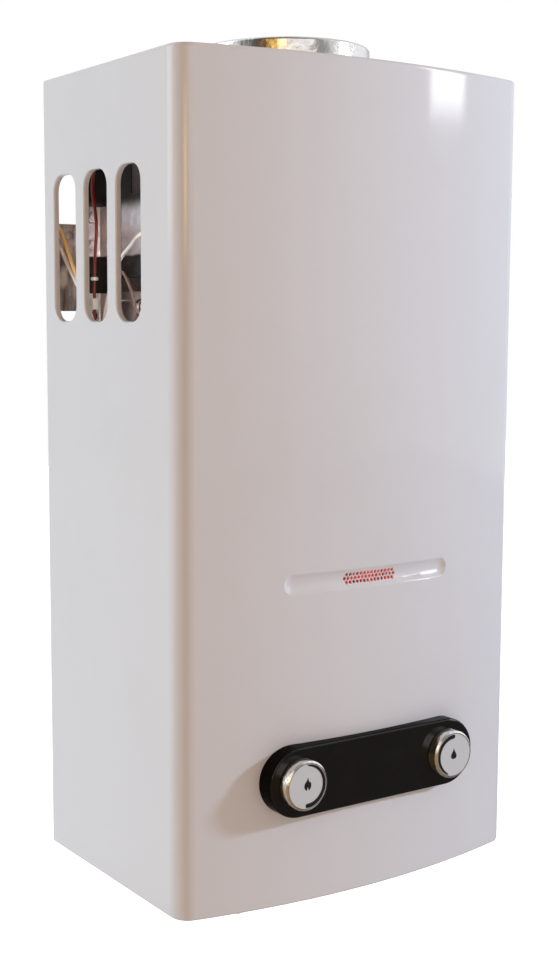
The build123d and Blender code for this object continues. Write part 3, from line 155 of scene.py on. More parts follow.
def follow(tree, shader, effect, depth=None):
    """Lets an effect drive the shader's colour and gloss, and its relief too where a depth is given."""
    tree.links.new(effect.outputs["Colour"], shader.inputs["Base Color"])
    tree.links.new(effect.outputs["Roughness"], shader.inputs["Roughness"])
    if depth is not None:
        bump(tree, shader, effect.outputs["Height"], depth)


def paint(names, material):
    """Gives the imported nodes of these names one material."""
    for name in names:
        mesh = nodes[name].data
        mesh.materials.clear()
        mesh.materials.append(material)


NUMBER, COLOUR, WAY = "NodeSocketFloat", "NodeSocketColor", "NodeSocketVector"

# crystals: flat patches of one tone each, over a finer mottle
crystals, group_in, group_out = new_group(
    "crystals",
    [("Size", NUMBER, 0.006), ("Dark", COLOUR, (0.4, 0.4, 0.4, 1)), ("Light", COLOUR, (0.7, 0.7, 0.7, 1)),
     ("Smooth", NUMBER, 0.3), ("Rough", NUMBER, 0.5)],
    [("Colour", COLOUR), ("Roughness", NUMBER), ("Height", NUMBER)],
)
place = add_node(crystals, "ShaderNodeTexCoord").outputs["Object"]
scale = maths(crystals, "DIVIDE", 1.0, group_in.outputs["Size"])
cells = add_node(crystals, "ShaderNodeTexVoronoi", Vector=place, Scale=scale, Randomness=1.0)
tone = add_node(crystals, "ShaderNodeSeparateColor", Color=cells.outputs["Color"])
mottle = add_node(crystals, "ShaderNodeTexNoise", Vector=place, Scale=scale, Detail=5.0)
share = maths(crystals, "MULTIPLY", maths(crystals, "ADD", tone.outputs[0], mottle.outputs[0]), 0.5)
colour = blend(crystals, share, group_in.outputs["Dark"], group_in.outputs["Light"])
rough = ramp(crystals, share, 0.0, 1.0, group_in.outputs["Rough"], group_in.outputs["Smooth"])
crystals.links.new(colour, group_out.inputs["Colour"])
crystals.links.new(rough, group_out.inputs["Roughness"])
crystals.links.new(mottle.outputs[0], group_out.inputs["Height"])

zinc_metallic = 0.75


def zinc_sheet(name):
    """Zinc coated sheet: its material, its shader and the crystals on it."""
    material, shader = new_material(name, (0.7, 0.7, 0.7), 0.4, zinc_metallic)
    effect = use_group(
        material.node_tree, crystals, Size=0.006, Dark=(0.56, 0.52, 0.56, 1), Light=(0.92, 0.88, 0.94, 1),
        Smooth=0.24, Rough=0.44,
    )
    follow(material.node_tree, shader, effect, 0.0002)
    return material, shader, effect


zinc = zinc_sheet("zinc coated sheet")[0]
paint(["base_plate", "hood_baffle", "exchanger_brackets", "burner_frame", "electrode_bracket",
       "linkage_bracket"], zinc)

# heights, distances from the middle and depths, in metres, between which the painted shade comes or goes
painted_shade_above, painted_shade_below, painted_shade_foot = (0.470, 0.482), (0.440, 0.442), (0.345, 0.392)
painted_shade_sides, panel_ears = (0.088, 0.096), (0.120, 0.118)
panel_face, hood_top = (-0.0004, -0.0009), (0.5634, 0.5630)
painted_shade_wander, painted_shade_share, painted_shade_roughness = 0.003, 0.95, 0.7
painted_shade_black, ear_streak_brown, painted_highlight_colour = (0.02, 0.016, 0.014, 1), (0.16, 0.11, 0.085, 1), (1.0, 0.94, 0.82, 1)

# zinc with that painted shade; the welds and rivets on it share it
zinc_painted_shade, shader, effect = zinc_sheet("zinc coated sheet, painted shade")
tree = zinc_painted_shade.node_tree
place, axes = object_place(tree)
drift = add_node(tree, "ShaderNodeTexNoise", Vector=place, Scale=90.0, Detail=4.0)
wander = maths(tree, "SUBTRACT", drift.outputs[0], 0.5)
edge = maths(tree, "MULTIPLY_ADD", wander, painted_shade_wander, axes["Z"])
sideways = maths(tree, "ABSOLUTE", axes["X"])
above = ramp(tree, edge, *painted_shade_above, smooth=True)
below = ramp(tree, edge, *painted_shade_below, 1.0, 0.0, smooth=True)
foot = ramp(tree, edge, *painted_shade_foot, smooth=True)
sides = ramp(tree, sideways, *painted_shade_sides)
off_ears = ramp(tree, sideways, *panel_ears)
inside = ramp(tree, axes["Y"], *panel_face)
under = ramp(tree, axes["Z"], *hood_top)
# painted shade: above the lit band everywhere, below it off the ears, on inner faces at the sides only
painted_shade = maths(tree, "MAXIMUM", above, maths(tree, "MULTIPLY", below, off_ears))
for mask in (inside, under, sides, foot, painted_shade_share):
    painted_shade = maths(tree, "MULTIPLY", painted_shade, mask)
zinc_with_painted_shade = blend(tree, painted_shade, effect.outputs["Colour"], painted_shade_black)

# the ears turn darker brown in streaks, and one tall patch on them is a painted highlight, pale and less
# metallic
patch_squeeze, patch_centre, patch_edge = (1.0, 0.0, 0.45), (-0.1315, 0.0, 0.1915), (0.001, 0.0045)
squeezed = vector_maths(tree, "MULTIPLY", place, patch_squeeze)
from_patch = vector_maths(tree, "DISTANCE", squeezed, patch_centre)
off_patch = ramp(tree, from_patch, *patch_edge, smooth=True)
streaks_per_metre = (420, 420, 60)
stretched = vector_maths(tree, "MULTIPLY", place, streaks_per_metre)
streaks = add_node(tree, "ShaderNodeTexNoise", Scale=1.0, Detail=4.0, Vector=stretched).outputs[0]
# darker brown streaks on the ears' inner faces, outside the patch
ear_streak_share = maths(tree, "MULTIPLY", maths(tree, "SUBTRACT", 1.0, off_ears), off_patch)
for mask in (inside, maths(tree, "MULTIPLY_ADD", streaks, 1.3, 0.1)):
    ear_streak_share = maths(tree, "MULTIPLY", ear_streak_share, mask)
# painted highlight: a tall pale patch on the left ear, where the sheet is also made less metallic
painted_highlight = maths(tree, "MULTIPLY", maths(tree, "SUBTRACT", 1.0, off_patch), inside)
streaks_and_painted_light = blend(tree, painted_highlight, blend(tree, ear_streak_share, zinc_with_painted_shade, ear_streak_brown), painted_highlight_colour)
dull = ramp(tree, painted_shade, 0.0, 1.0, effect.outputs["Roughness"], painted_shade_roughness)
tree.links.new(streaks_and_painted_light, shader.inputs["Base Color"])
tree.links.new(maths(tree, "MULTIPLY_ADD", painted_highlight, -0.7, zinc_metallic), shader.inputs["Metallic"])
tree.links.new(dull, shader.inputs["Roughness"])
paint(["chassis", "draft_hood"], zinc_painted_shade)


def new_tree(name, inputs):
    """A Geometry Nodes tree with its named inputs and its two end nodes."""
    inputs = [("Geometry", "NodeSocketGeometry", None), *inputs, ("Material", "NodeSocketMaterial", None)]
    return new_group(name, inputs, [("Geometry", "NodeSocketGeometry")], "GeometryNodeTree")


def end_tree(tree, group_in, group_out, geometry):
    """Turns what the tree made into one mesh of one material."""
    whole = add_node(tree, "GeometryNodeRealizeInstances", Geometry=geometry)
    dressed = add_node(
        tree, "GeometryNodeSetMaterial", Geometry=whole.outputs[0], Material=group_in.outputs["Material"]
    )
    tree.links.new(dressed.outputs[0], group_out.inputs[0])


def on_every_point(tree, group_in, shape):
    """The shape on every point of the mesh, scaled to its radius and height and turned its way."""
    radius = group_in.outputs["Radius"]
    size = add_node(tree, "ShaderNodeCombineXYZ", X=radius, Y=radius, Z=group_in.outputs["Height"])
    turn = add_node(tree, "FunctionNodeAlignRotationToVector", {"axis": "Z"}, Vector=group_in.outputs["Way"])
    return add_node(
        tree, "GeometryNodeInstanceOnPoints", Points=group_in.outputs["Geometry"], Instance=shape,
        Rotation=turn.outputs[0], Scale=size.outputs[0],
    ).outputs[0]


def new_mesh(name, points, faces=()):
    """A mesh from its points and faces."""
    mesh = bpy.data.meshes.new(name)
    mesh.from_pydata(points, [], faces)
    mesh.update()
    return mesh


def new_piece(name, mesh, corner=32):
    """An object for a finished mesh, shaded smooth up to this corner in degrees."""
    mesh.shade_smooth()
    mesh.set_sharp_from_angle(angle=radians(corner))
    piece = bpy.data.objects.new(name, mesh)
    bpy.context.collection.objects.link(piece)
    return piece


def grow(name, mesh, tree, corner=32, **values):
    """Runs a Geometry Nodes tree over a mesh and keeps what it makes as a plain piece."""
    seed = bpy.data.objects.new(name + " seed", mesh)
    bpy.context.collection.objects.link(seed)
    modifier = seed.modifiers.new("tree", "NODES")
    modifier.node_group = tree
    for item in tree.interface.items_tree:
        key = item.name.replace(" ", "_")
        if item.in_out == "INPUT" and key in values:
            modifier[item.identifier] = values[key]
    grown = bpy.data.meshes.new_from_object(seed.evaluated_get(bpy.context.evaluated_depsgraph_get()))
    bpy.data.objects.remove(seed)
    return new_piece(name, grown, corner)


# rivets: a low dome on every point of the mesh, facing one way
rivet_tree, group_in, group_out = new_tree(
    "rivets", [("Radius", NUMBER, 0.002), ("Height", NUMBER, 0.001), ("Way", WAY, (0, 0, 1))]
)
dome = add_node(rivet_tree, "GeometryNodeMeshUVSphere", Segments=14, Rings=8, Radius=1.0)
end_tree(rivet_tree, group_in, group_out, on_every_point(rivet_tree, group_in, dome.outputs["Mesh"]))

# hexagon screws: a flange and a six-sided head on every point
screw_tree, group_in, group_out = new_tree(
    "hexagon screws", [("Radius", NUMBER, 0.003), ("Height", NUMBER, 0.002), ("Way", WAY, (0, 0, 1))]
)
closed_ends = {"fill_type": "NGON"}
head = add_node(screw_tree, "GeometryNodeMeshCylinder", closed_ends, Vertices=6, Radius=1.0, Depth=2.0)
flange = add_node(
    screw_tree, "GeometryNodeMeshCone", closed_ends, Vertices=18, Radius_Top=1.15, Radius_Bottom=1.4,
    Depth=0.35,
)
both = add_node(screw_tree, "GeometryNodeJoinGeometry")
screw_tree.links.new(flange.outputs["Mesh"], both.inputs[0])
screw_tree.links.new(head.outputs["Mesh"], both.inputs[0])
end_tree(screw_tree, group_in, group_out, on_every_point(screw_tree, group_in, both.outputs[0]))


def fasten(name, tree, places, way, radius, height, material):
    """Rivets, welds or screws at these places in millimetres, on the root body."""
    mesh = new_mesh(name, [[value / 1000 for value in place] for place in places])
    piece = grow(name, mesh, tree, Radius=radius, Height=height, Way=way, Material=material)
    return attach(piece, "heater")


TO_FRONT, UPWARDS, BOTH_SIDES = (0, -1, 0), (0, 0, 1), ((-1, "left"), (1, "right"))
weld_radius, weld_height, weld_depth = 0.003, 0.0003, -0.95
panel_weld_places = [(side * 109, weld_depth, z) for side in (-1, 1) for z in range(28, 560, 38)]
ear_weld_places = [(side * 126, weld_depth, z) for side in (-1, 1) for z in (409, 432, 456)]
fasten("panel_welds", rivet_tree, panel_weld_places, TO_FRONT, weld_radius, weld_height, zinc_painted_shade)
fasten("ear_welds", rivet_tree, ear_weld_places, TO_FRONT, weld_radius, weld_height, zinc_painted_shade)


# Draft hood: the box over the fins, in which a down-draught turns aside.
# The same sheet, folded into a box and closed with rivets along its edges.
hood_side, hood_front, rivet_rows = 100, -160, (434, 552)
rivet_radius, rivet_height = 0.0022, 0.0009
for side, label in BOTH_SIDES:
    places = [(side * hood_side, -y, z) for y in (42, 96, 150) for z in rivet_rows]
    fasten(f"hood_rivets_{label}", rivet_tree, places, (side, 0, 0), rivet_radius, rivet_height, zinc_painted_shade)
places = [(x, hood_front, z) for x in (-88, -44, 0, 44, 88) for z in rivet_rows]
fasten("hood_front_rivets", rivet_tree, places, TO_FRONT, rivet_radius, rivet_height, zinc_painted_shade)


# Ties and end plates: two angles a side that hold hood and shell to the panel, and a plate beside the fins.
# Zinc coated strip, bent square over a small radius; the upper ties are screwed to the panel.
def closed(mesh):
    """The mesh with doubled points merged and its faces turned outwards."""
    work = bmesh.new()
    work.from_mesh(mesh)
    bmesh.ops.remove_doubles(work, verts=work.verts, dist=1e-7)
    bmesh.ops.recalc_face_normals(work, faces=work.faces)
    work.to_mesh(mesh)
    work.free()
    return mesh


def prism(name, outline, axis, low, high):
    """A solid whose outline, in millimetres, is drawn across an axis and reaches from low to high on it."""
    order = {"Y": (0, 2, 1), "Z": (0, 1, 2)}[axis]
    points = []
    for level in (low, high):
        points += [[(a, b, level)[n] / 1000 for n in order] for a, b in outline]
    count = len(outline)
    faces = [tuple(range(count)), tuple(range(count, 2 * count))]
    faces += [(n, (n + 1) % count, count + (n + 1) % count, count + n) for n in range(count)]
    return closed(new_mesh(name, points, faces))


def add_material(mesh, material):
    """The mesh with this one material."""
    mesh.materials.clear()
    mesh.materials.append(material)
    return mesh


tie_sheet, tie_wall, tie_end, tie_back, tie_front = 1.2, 100.4, 117, -2.4, -24
outer_bend, inner_bend = 3, 1.8
quarter = (0, pi / 6, pi / 3, pi / 2)
angle_outline = [
    (tie_wall, tie_front),
    *[(tie_wall + outer_bend * (1 - cos(t)), tie_back - outer_bend * (1 - sin(t))) for t in quarter],
    (tie_end, tie_back),
    (tie_end, tie_back - tie_sheet),
    *[(tie_wall + tie_sheet + inner_bend * (1 - cos(t)), tie_back - tie_sheet - inner_bend * (1 - sin(t)))
      for t in quarter[::-1]],
    (tie_wall + tie_sheet, tie_front),
]
upper_tie_heights, lower_tie_heights = (441, 477), (384, 414)
end_plate_outline = [(92.4, 386), (93.2, 386), (93.2, 408), (98.5, 408), (98.5, 408.8), (93.2, 408.8),
                     (93.2, 415), (92.4, 415)]
end_plate_depths = (-148, -3)
screw_radius, screw_height = 0.003, 0.002
for side, label in BOTH_SIDES:
    mirrored_angle = [(side * x, y) for x, y in angle_outline]
    bracket = prism("tie bracket", mirrored_angle, "Z", *upper_tie_heights)
    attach(new_piece(f"tie_bracket_{label}", add_material(bracket, zinc)), "heater")
    screw_places = [(side * 109, -4.0, z) for z in (449, 469)]
    fasten(f"tie_screws_{label}", screw_tree, screw_places, TO_FRONT, screw_radius, screw_height, zinc)
    lower = prism("lower tie", mirrored_angle, "Z", *lower_tie_heights)
    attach(new_piece(f"lower_tie_{label}", add_material(lower, zinc)), "heater")
    plate = prism("end plate", [(side * x, z) for x, z in end_plate_outline], "Y", *end_plate_depths)
    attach(new_piece(f"end_plate_{label}", add_material(plate, zinc)), "heater")


# Flue collar: the round outlet on the hood, with a rolled rim and a flange riveted down.
# Thin bright zinc coated sheet rolled to a tube, which crinkles and mirrors the room in flecks.
def turned(name, profile, centre, steps=48):
    """A solid turned about an upright axis; the profile is its section, (radius, height) in millimetres."""
    points, faces, count = [], [], len(profile)
    for n in range(steps):
        angle = 2 * pi * n / steps
        points += [
            ((centre[0] + r * cos(angle)) / 1000, (centre[1] + r * sin(angle)) / 1000, z / 1000)
            for r, z in profile
        ]
        after = (n + 1) % steps
        faces += [
            (n * count + k, n * count + (k + 1) % count, after * count + (k + 1) % count, after * count + k)
            for k in range(count)
        ]
    return closed(new_mesh(name, points, faces))


crinkle_tree, group_in, group_out = new_tree(
    "crinkled wall",
    [("Centre", WAY, (0, 0, 0)), ("Foot", NUMBER, 0.0), ("Size", NUMBER, 0.008), ("Depth", NUMBER, 0.0002)],
)
spot = add_node(crinkle_tree, "GeometryNodeInputPosition").outputs[0]
arm = vector_maths(crinkle_tree, "SUBTRACT", spot, group_in.outputs["Centre"])
flat = vector_maths(crinkle_tree, "MULTIPLY", arm, (1, 1, 0))
out = vector_maths(crinkle_tree, "NORMALIZE", flat)
scale = maths(crinkle_tree, "DIVIDE", 1.0, group_in.outputs["Size"])
folds = add_node(crinkle_tree, "ShaderNodeTexNoise", Vector=spot, Scale=scale, Detail=3.0, Roughness=0.55)
level = maths(crinkle_tree, "SUBTRACT", folds.outputs[0], 0.5)
height = add_node(crinkle_tree, "ShaderNodeSeparateXYZ", Vector=spot).outputs["Z"]
foot = group_in.outputs["Foot"]
fade = ramp(crinkle_tree, height, foot, maths(crinkle_tree, "ADD", foot, 0.003))
push = maths(
    crinkle_tree, "MULTIPLY", maths(crinkle_tree, "MULTIPLY", level, fade),
    maths(crinkle_tree, "MULTIPLY", group_in.outputs["Depth"], 2.0),
)
moved = add_node(
    crinkle_tree, "GeometryNodeSetPosition", Geometry=group_in.outputs["Geometry"],
    Offset=vector_maths(crinkle_tree, "SCALE", out, Scale=push),
)
end_tree(crinkle_tree, group_in, group_out, moved.outputs[0])

bright_zinc, shader = new_material("bright crinkled sheet", (0.86, 0.86, 0.87), 0.14, 1.0)
effect = use_group(
    bright_zinc.node_tree, crystals, Size=0.0045, Dark=(0.74, 0.74, 0.75, 1), Light=(0.90, 0.90, 0.90, 1),
    Smooth=0.10, Rough=0.24,
)
follow(bright_zinc.node_tree, shader, effect, 0.0003)

collar_x, collar_y, collar_foot, collar_top = 0, -91.2, 563.7, 584.8
collar_inside, collar_outside, flange_outside = 61, 62, 70
rim_radius, rim_wire, rim_height = 60.4, 1.2, 583.6
wall_foot, wall_head, wall_rows = collar_foot + 1.6, collar_top - 1.3, 22
wall = [wall_foot + (wall_head - wall_foot) * n / wall_rows for n in range(wall_rows + 1)]
rim_angles = [radians(300 - 25 * n) for n in range(12)]
collar_profile = [
    (collar_inside, collar_foot),
    *[(collar_inside, z) for z in wall if z < rim_height - rim_wire],
    *[(rim_radius + rim_wire * cos(t), rim_height + rim_wire * sin(t)) for t in rim_angles],
    *[(collar_outside, z) for z in reversed(wall)],
    (62.5, collar_foot + 1.1), (63.4, collar_foot + 1), (flange_outside - 0.4, collar_foot + 1),
    (flange_outside, collar_foot + 0.7), (flange_outside, collar_foot),
]
collar = grow(
    "collar", turned("collar", collar_profile, (collar_x, collar_y), 300), crinkle_tree, 50,
    Centre=(collar_x / 1000, collar_y / 1000, 0), Foot=0.5655, Size=0.007, Depth=0.0003, Material=bright_zinc,
)
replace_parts(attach(collar, "heater"), "flue_collar")
flange_rivet_ring, flange_face = 66.4, 564.6
flange_places = [
    (collar_x + flange_rivet_ring * cos(t), collar_y + flange_rivet_ring * sin(t), flange_face)
    for t in [radians(30 + 60 * n) for n in range(6)]
]
fasten("collar_rivets", rivet_tree, flange_places, UPWARDS, 0.0018, 0.0009, zinc)


# Heat exchanger: the shell, its fins, the finned tube and the two pipes.
# Copper, soldered and heat stained, darker and browner where the flames reach it; shell and tube are tinned.
stain, group_in, group_out = new_group(
    "stain",
    [("Size", NUMBER, 0.03), ("Clean", COLOUR, (0.7, 0.3, 0.2, 1)), ("Stained", COLOUR, (0.2, 0.1, 0.08, 1)),
     ("Share", NUMBER, 0.5), ("Smooth", NUMBER, 0.2), ("Rough", NUMBER, 0.45)],
    [("Colour", COLOUR), ("Roughness", NUMBER), ("Height", NUMBER)],
)
place = add_node(stain, "ShaderNodeTexCoord").outputs["Object"]
scale = maths(stain, "DIVIDE", 1.0, group_in.outputs["Size"])
cloud = add_node(stain, "ShaderNodeTexNoise", Vector=place, Scale=scale, Detail=6.0, Roughness=0.62)
level = maths(stain, "SUBTRACT", 1.0, group_in.outputs["Share"])
softness = 0.14
start, end = maths(stain, "SUBTRACT", level, softness), maths(stain, "ADD", level, softness)
mask = ramp(stain, cloud.outputs[0], start, end, smooth=True)
colour = blend(stain, mask, group_in.outputs["Clean"], group_in.outputs["Stained"])
rough = ramp(stain, mask, 0.0, 1.0, group_in.outputs["Smooth"], group_in.outputs["Rough"])
stain.links.new(colour, group_out.inputs["Colour"])
stain.links.new(rough, group_out.inputs["Roughness"])
stain.links.new(cloud.outputs[0], group_out.inputs["Height"])


def stained(name, clean, dirty, share, size, smooth, rough, metallic=0.0, depth=0.0001):
    """A material whose colour and gloss wander between a clean and a stained state."""
    material, shader = new_material(name, clean, smooth, metallic)
    tree = material.node_tree
    effect = use_group(
        tree, stain, Size=size, Clean=(*clean, 1), Stained=(*dirty, 1), Share=share, Smooth=smooth,
        Rough=rough,
    )
    follow(tree, shader, effect, depth)
    return material


copper = stained("heat stained copper", (0.72, 0.33, 0.19), (0.20, 0.10, 0.07), 0.46, 0.035, 0.22, 0.46, 1.0)
tinned = stained("tinned copper", (0.72, 0.70, 0.67), (0.42, 0.27, 0.17), 0.36, 0.02, 0.2, 0.42, 1.0)
paint(["exchanger_fins", "water_coil", "hot_pipe"], copper)
paint(["combustion_shell", "exchanger_tube"], tinned)


# Burner: a row of slotted bars, and the tube with jets that feeds them.
# Pressed stainless bars, blued by heat on their decks, a cast tube and turned brass jets.
stainless = stained("stainless steel", (0.58, 0.56, 0.53), (0.22, 0.17, 0.19), 0.4, 0.02, 0.22, 0.36, 1.0)
brass = stained("brass", (0.78, 0.55, 0.24), (0.36, 0.22, 0.09), 0.38, 0.012, 0.2, 0.42, 1.0)
cast = stained(
    "cast aluminium", (0.60, 0.60, 0.61), (0.36, 0.36, 0.37), 0.45, 0.0014, 0.36, 0.55, 1.0, 0.0003
)
paint(["burner_bars"], stainless)
paint(["injectors"], brass)
paint(["gas_manifold"], cast)


# Gas and water valves, safety valve and thermostats, with their stems, nuts and screws.
# A cast gas block, a brass water section, turned taps and stems, and zinc plated cans and screws.
steel = stained("zinc plated steel", (0.55, 0.56, 0.58), (0.30, 0.29, 0.28), 0.35, 0.006, 0.22, 0.4, 1.0)
paint(["push_rod", "switch_lever", "inlet_strainer"], stainless)
paint(["gas_plug", "flow_plug", "gland_nuts", "seat_insert", "diaphragm_cover", "water_valve_body",
       "lock_nuts"], brass)
paint(["gas_valve_body"], cast)
paint(["flue_thermostat", "overheat_thermostat", "solenoid_can", "solenoid_plunger", "housing_screws",
       "cover_screws"], steel)


# Pipe connections: the gas inlet, the cold inlet and the hot outlet below the base plate.
# Turned from brass bar, with a half inch pipe thread cut on the outside and a hexagon where a pipe is fed.
thread_tree, group_in, group_out = new_tree(
    "pipe thread",
    [("Foot", WAY, (0, 0, 0)), ("Root", NUMBER, 0.009), ("Depth", NUMBER, 0.001), ("Length", NUMBER, 0.02),
     ("Pitch", NUMBER, 0.0018)],
)
root_radius = group_in.outputs["Root"]
helix = add_node(
    thread_tree, "GeometryNodeCurveSpiral", Resolution=30, Start_Radius=root_radius, End_Radius=root_radius,
    Rotations=maths(thread_tree, "DIVIDE", group_in.outputs["Length"], group_in.outputs["Pitch"]),
    Height=group_in.outputs["Length"],
)
upright = add_node(thread_tree, "GeometryNodeSetCurveNormal", {"mode": "Z_UP"}, Curve=helix.outputs[0])
ridge = add_node(
    thread_tree, "GeometryNodeCurvePrimitiveCircle", Resolution=4, Radius=group_in.outputs["Depth"]
)
swept = add_node(
    thread_tree, "GeometryNodeCurveToMesh", Curve=upright.outputs[0], Profile_Curve=ridge.outputs[0],
    Fill_Caps=True,
)
lifted = add_node(
    thread_tree, "GeometryNodeTransform", Geometry=swept.outputs[0], Translation=group_in.outputs["Foot"]
)
end_tree(thread_tree, group_in, group_out, lifted.outputs[0])

pipes_y, bore = -110, 6.0
thread_crest, thread_depth, thread_pitch, thread_length, thread_start = 10.45, 0.95, 1.814, 19.4, 1.6
nut_corner, nut_flat, nut_height, nut_chamfer = 13.86, 13.2, 6, 0.7
tallest_without_nut = 20.5
root = thread_crest - thread_depth
for name, x in (("gas_inlet", -87.5), ("hot_outlet", 0), ("cold_inlet", 87.5)):
    foot, top = [corner[2] * 1000 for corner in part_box(name)]
    neck = [
        (bore, foot), (root - 0.9, foot), (root, foot + 0.9), (root, -2.2), (10.1, -2), (10.1, 1), (10.5, 1),
        (10.5, 13.5), (10, 14), (9, 14), (9, top), (bore, top),
    ]
    parts = [turned("core", neck, (x, pipes_y))]
    if top > tallest_without_nut:
        nut = [
            (bore, top - nut_height), (nut_flat, top - nut_height),
            (nut_corner, top - nut_height + nut_chamfer), (nut_corner, top - nut_chamfer), (nut_flat, top),
            (bore, top),
        ]
        parts.append(turned("hexagon", nut, (x, pipes_y), 6))
    thread = grow(
        "thread", new_mesh("start", [(0, 0, 0)]), thread_tree, 20,
        Foot=(x / 1000, pipes_y / 1000, (foot + thread_start) / 1000), Root=root / 1000,
        Depth=thread_depth / 1000, Length=thread_length / 1000, Pitch=thread_pitch / 1000, Material=brass,
    )
    joined = bmesh.new()
    for mesh in [*parts, thread.data]:
        joined.from_mesh(mesh)
    bpy.data.objects.remove(thread)
    whole = bpy.data.meshes.new(name)
    joined.to_mesh(whole)
    joined.free()
    piece = new_piece(name + "_threaded", add_material(whole, brass), 28)
    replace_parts(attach(piece, "heater"), name)


# Valve springs: one behind the gas disc, one behind the safety plunger.
# Drawn stainless wire wound to an open coil, which closes up as its valve opens; here each coil is built at
# one length.
spring_tree, group_in, group_out = new_tree(
    "coil spring",
    [("Foot", WAY, (0, 0, 0)), ("Radius", NUMBER, 0.006), ("Wire", NUMBER, 0.0004), ("Length", NUMBER, 0.013),
     ("Turns", NUMBER, 5.0)],
)
coil_radius = group_in.outputs["Radius"]
helix = add_node(
    spring_tree, "GeometryNodeCurveSpiral", Resolution=28, Rotations=group_in.outputs["Turns"],
    Start_Radius=coil_radius, End_Radius=coil_radius, Height=group_in.outputs["Length"],
)
laid = add_node(
    spring_tree, "GeometryNodeTransform", Geometry=helix.outputs[0], Translation=group_in.outputs["Foot"],
    Rotation=(0, pi / 2, 0),
)
section = add_node(
    spring_tree, "GeometryNodeCurvePrimitiveCircle", Resolution=10, Radius=group_in.outputs["Wire"]
)
wound = add_node(
    spring_tree, "GeometryNodeCurveToMesh", Curve=laid.outputs[0], Profile_Curve=section.outputs[0],
    Fill_Caps=True,
)
end_tree(spring_tree, group_in, group_out, wound.outputs[0])

# metres; a spring stands on its left end, a hair clear of the seat that it is squashed against
wire, spring_radius, valve_y, valve_z, seat_gap = 0.0004, 0.006, -0.11, 0.088, 0.0001
for name, turns, joint, travel in (
    ("disc_spring", 5.0, "valve_stem_slide", 0.004), ("solenoid_spring", 6.0, "safety_valve_slide", 0.003)
):
    left_end, right_end = [corner[0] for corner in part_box(name)]
    coil = grow(
        f"{name}_coil", new_mesh("start", [(0, 0, 0)]), spring_tree, 60,
        Foot=(left_end + wire, valve_y, valve_z), Radius=spring_radius, Wire=wire,
        Length=right_end - left_end - 2 * wire, Turns=turns, Material=stainless,
    )
    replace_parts(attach(coil, "heater"), name)
    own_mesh(coil)


# Electrodes, valve disc and diaphragm, and the plastic boxes, switch and cells.
# Glazed ceramic, moulded rubber, moulded black, white and red plastics, and the printed jackets of the cells.
ceramic = stained("glazed ceramic", (0.86, 0.84, 0.79), (0.62, 0.56, 0.47), 0.3, 0.01, 0.16, 0.4)
rubber = stained("black rubber", (0.02, 0.02, 0.02), (0.05, 0.048, 0.045), 0.4, 0.004, 0.5, 0.7)
black_plastic = stained(
    "black moulded plastic", (0.022, 0.022, 0.024), (0.034, 0.034, 0.036), 0.4, 0.001, 0.38, 0.5
)
white_plastic = stained(
    "white moulded plastic", (0.93, 0.92, 0.90), (0.84, 0.82, 0.78), 0.35, 0.004, 0.3, 0.42
)
red_plastic = stained("red moulded plastic", (0.55, 0.03, 0.02), (0.42, 0.02, 0.015), 0.4, 0.002, 0.3, 0.4)
jacket = stained("cell jacket", (0.10, 0.22, 0.14), (0.07, 0.16, 0.10), 0.4, 0.01, 0.25, 0.4)
paint(["electrodes"], ceramic)
paint(["gas_valve_disc", "diaphragm"], rubber)
paint(["microswitch", "battery_box", "battery_lid", "ignition_lead"], black_plastic)
paint(["ignition_box", "wire_connector"], white_plastic)
paint(["switch_button"], red_plastic)
paint(["battery_cells"], jacket)


# Leads: a red one with its clip, a pale pair, a brown one, and the rubber grommets beside them.
# Copper wire in dyed plastic; the upper lead of the pale pair is white, with a painted warm light that turns
# it gold where it nears the air slots.
red_wire = stained("dark red lead", (0.22, 0.016, 0.010), (0.13, 0.010, 0.008), 0.4, 0.01, 0.28, 0.4)
brown_wire = stained("brown lead", (0.26, 0.16, 0.14), (0.14, 0.09, 0.08), 0.4, 0.01, 0.3, 0.42)
pale_wire, shader = new_material("pale leads", (0.8, 0.7, 0.6), 0.3)
tree = pale_wire.node_tree
place, axes = object_place(tree)
# a sloping plane, in metres, parts the upper lead from the lower; further in, both are white
between_leads, painted_gold_reach = 0.4578, -0.124
slope = maths(tree, "MULTIPLY_ADD", axes["Y"], -1.35, axes["Z"])
upper = maths(
    tree, "MULTIPLY", maths(tree, "GREATER_THAN", slope, between_leads),
    maths(tree, "LESS_THAN", axes["X"], painted_gold_reach),
)
smut = add_node(tree, "ShaderNodeTexNoise", Vector=place, Scale=60.0, Detail=4.0).outputs[0]
white_tone = blend(tree, smut, (1.0, 0.99, 0.97, 1), (0.82, 0.80, 0.77, 1))
# painted warm light: the upper lead is gold only where it lies by the air slots
painted_gold_tone = blend(tree, smut, (1.0, 0.66, 0.26, 1), (0.80, 0.44, 0.14, 1))
tree.links.new(blend(tree, upper, white_tone, painted_gold_tone), shader.inputs["Base Color"])
for name, material, growth in (
    ("red_lead", red_wire, 0.00018), ("pale_leads", pale_wire, 0.00036), ("brown_lead", brown_wire, 0.0001)
):
    paint([name], material)
    weld = nodes[name].modifiers.new("weld", "WELD")
    weld.merge_threshold = 1e-6
    skin = nodes[name].modifiers.new("covering", "DISPLACE")
    skin.strength, skin.mid_level = growth, 0.0

clip_inside, clip_outside = 1.3, 2.7
clip_profile = [
    (clip_inside, 422.9), (2.4, 422.9), (clip_outside, 423.2), (clip_outside, 425), (2.4, 425.3),
    (clip_inside, 425.3),
]
sleeve = turned("sleeve", clip_profile, (-118, -24), 20)
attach(new_piece("lead_clip", add_material(sleeve, white_plastic)), "heater")
grommet_places = [(side * 108, -3.65, 397.5) for side in (-1, 1)]
fasten("tie_grommets", rivet_tree, grommet_places, TO_FRONT, 0.0034, 0.0004, rubber)


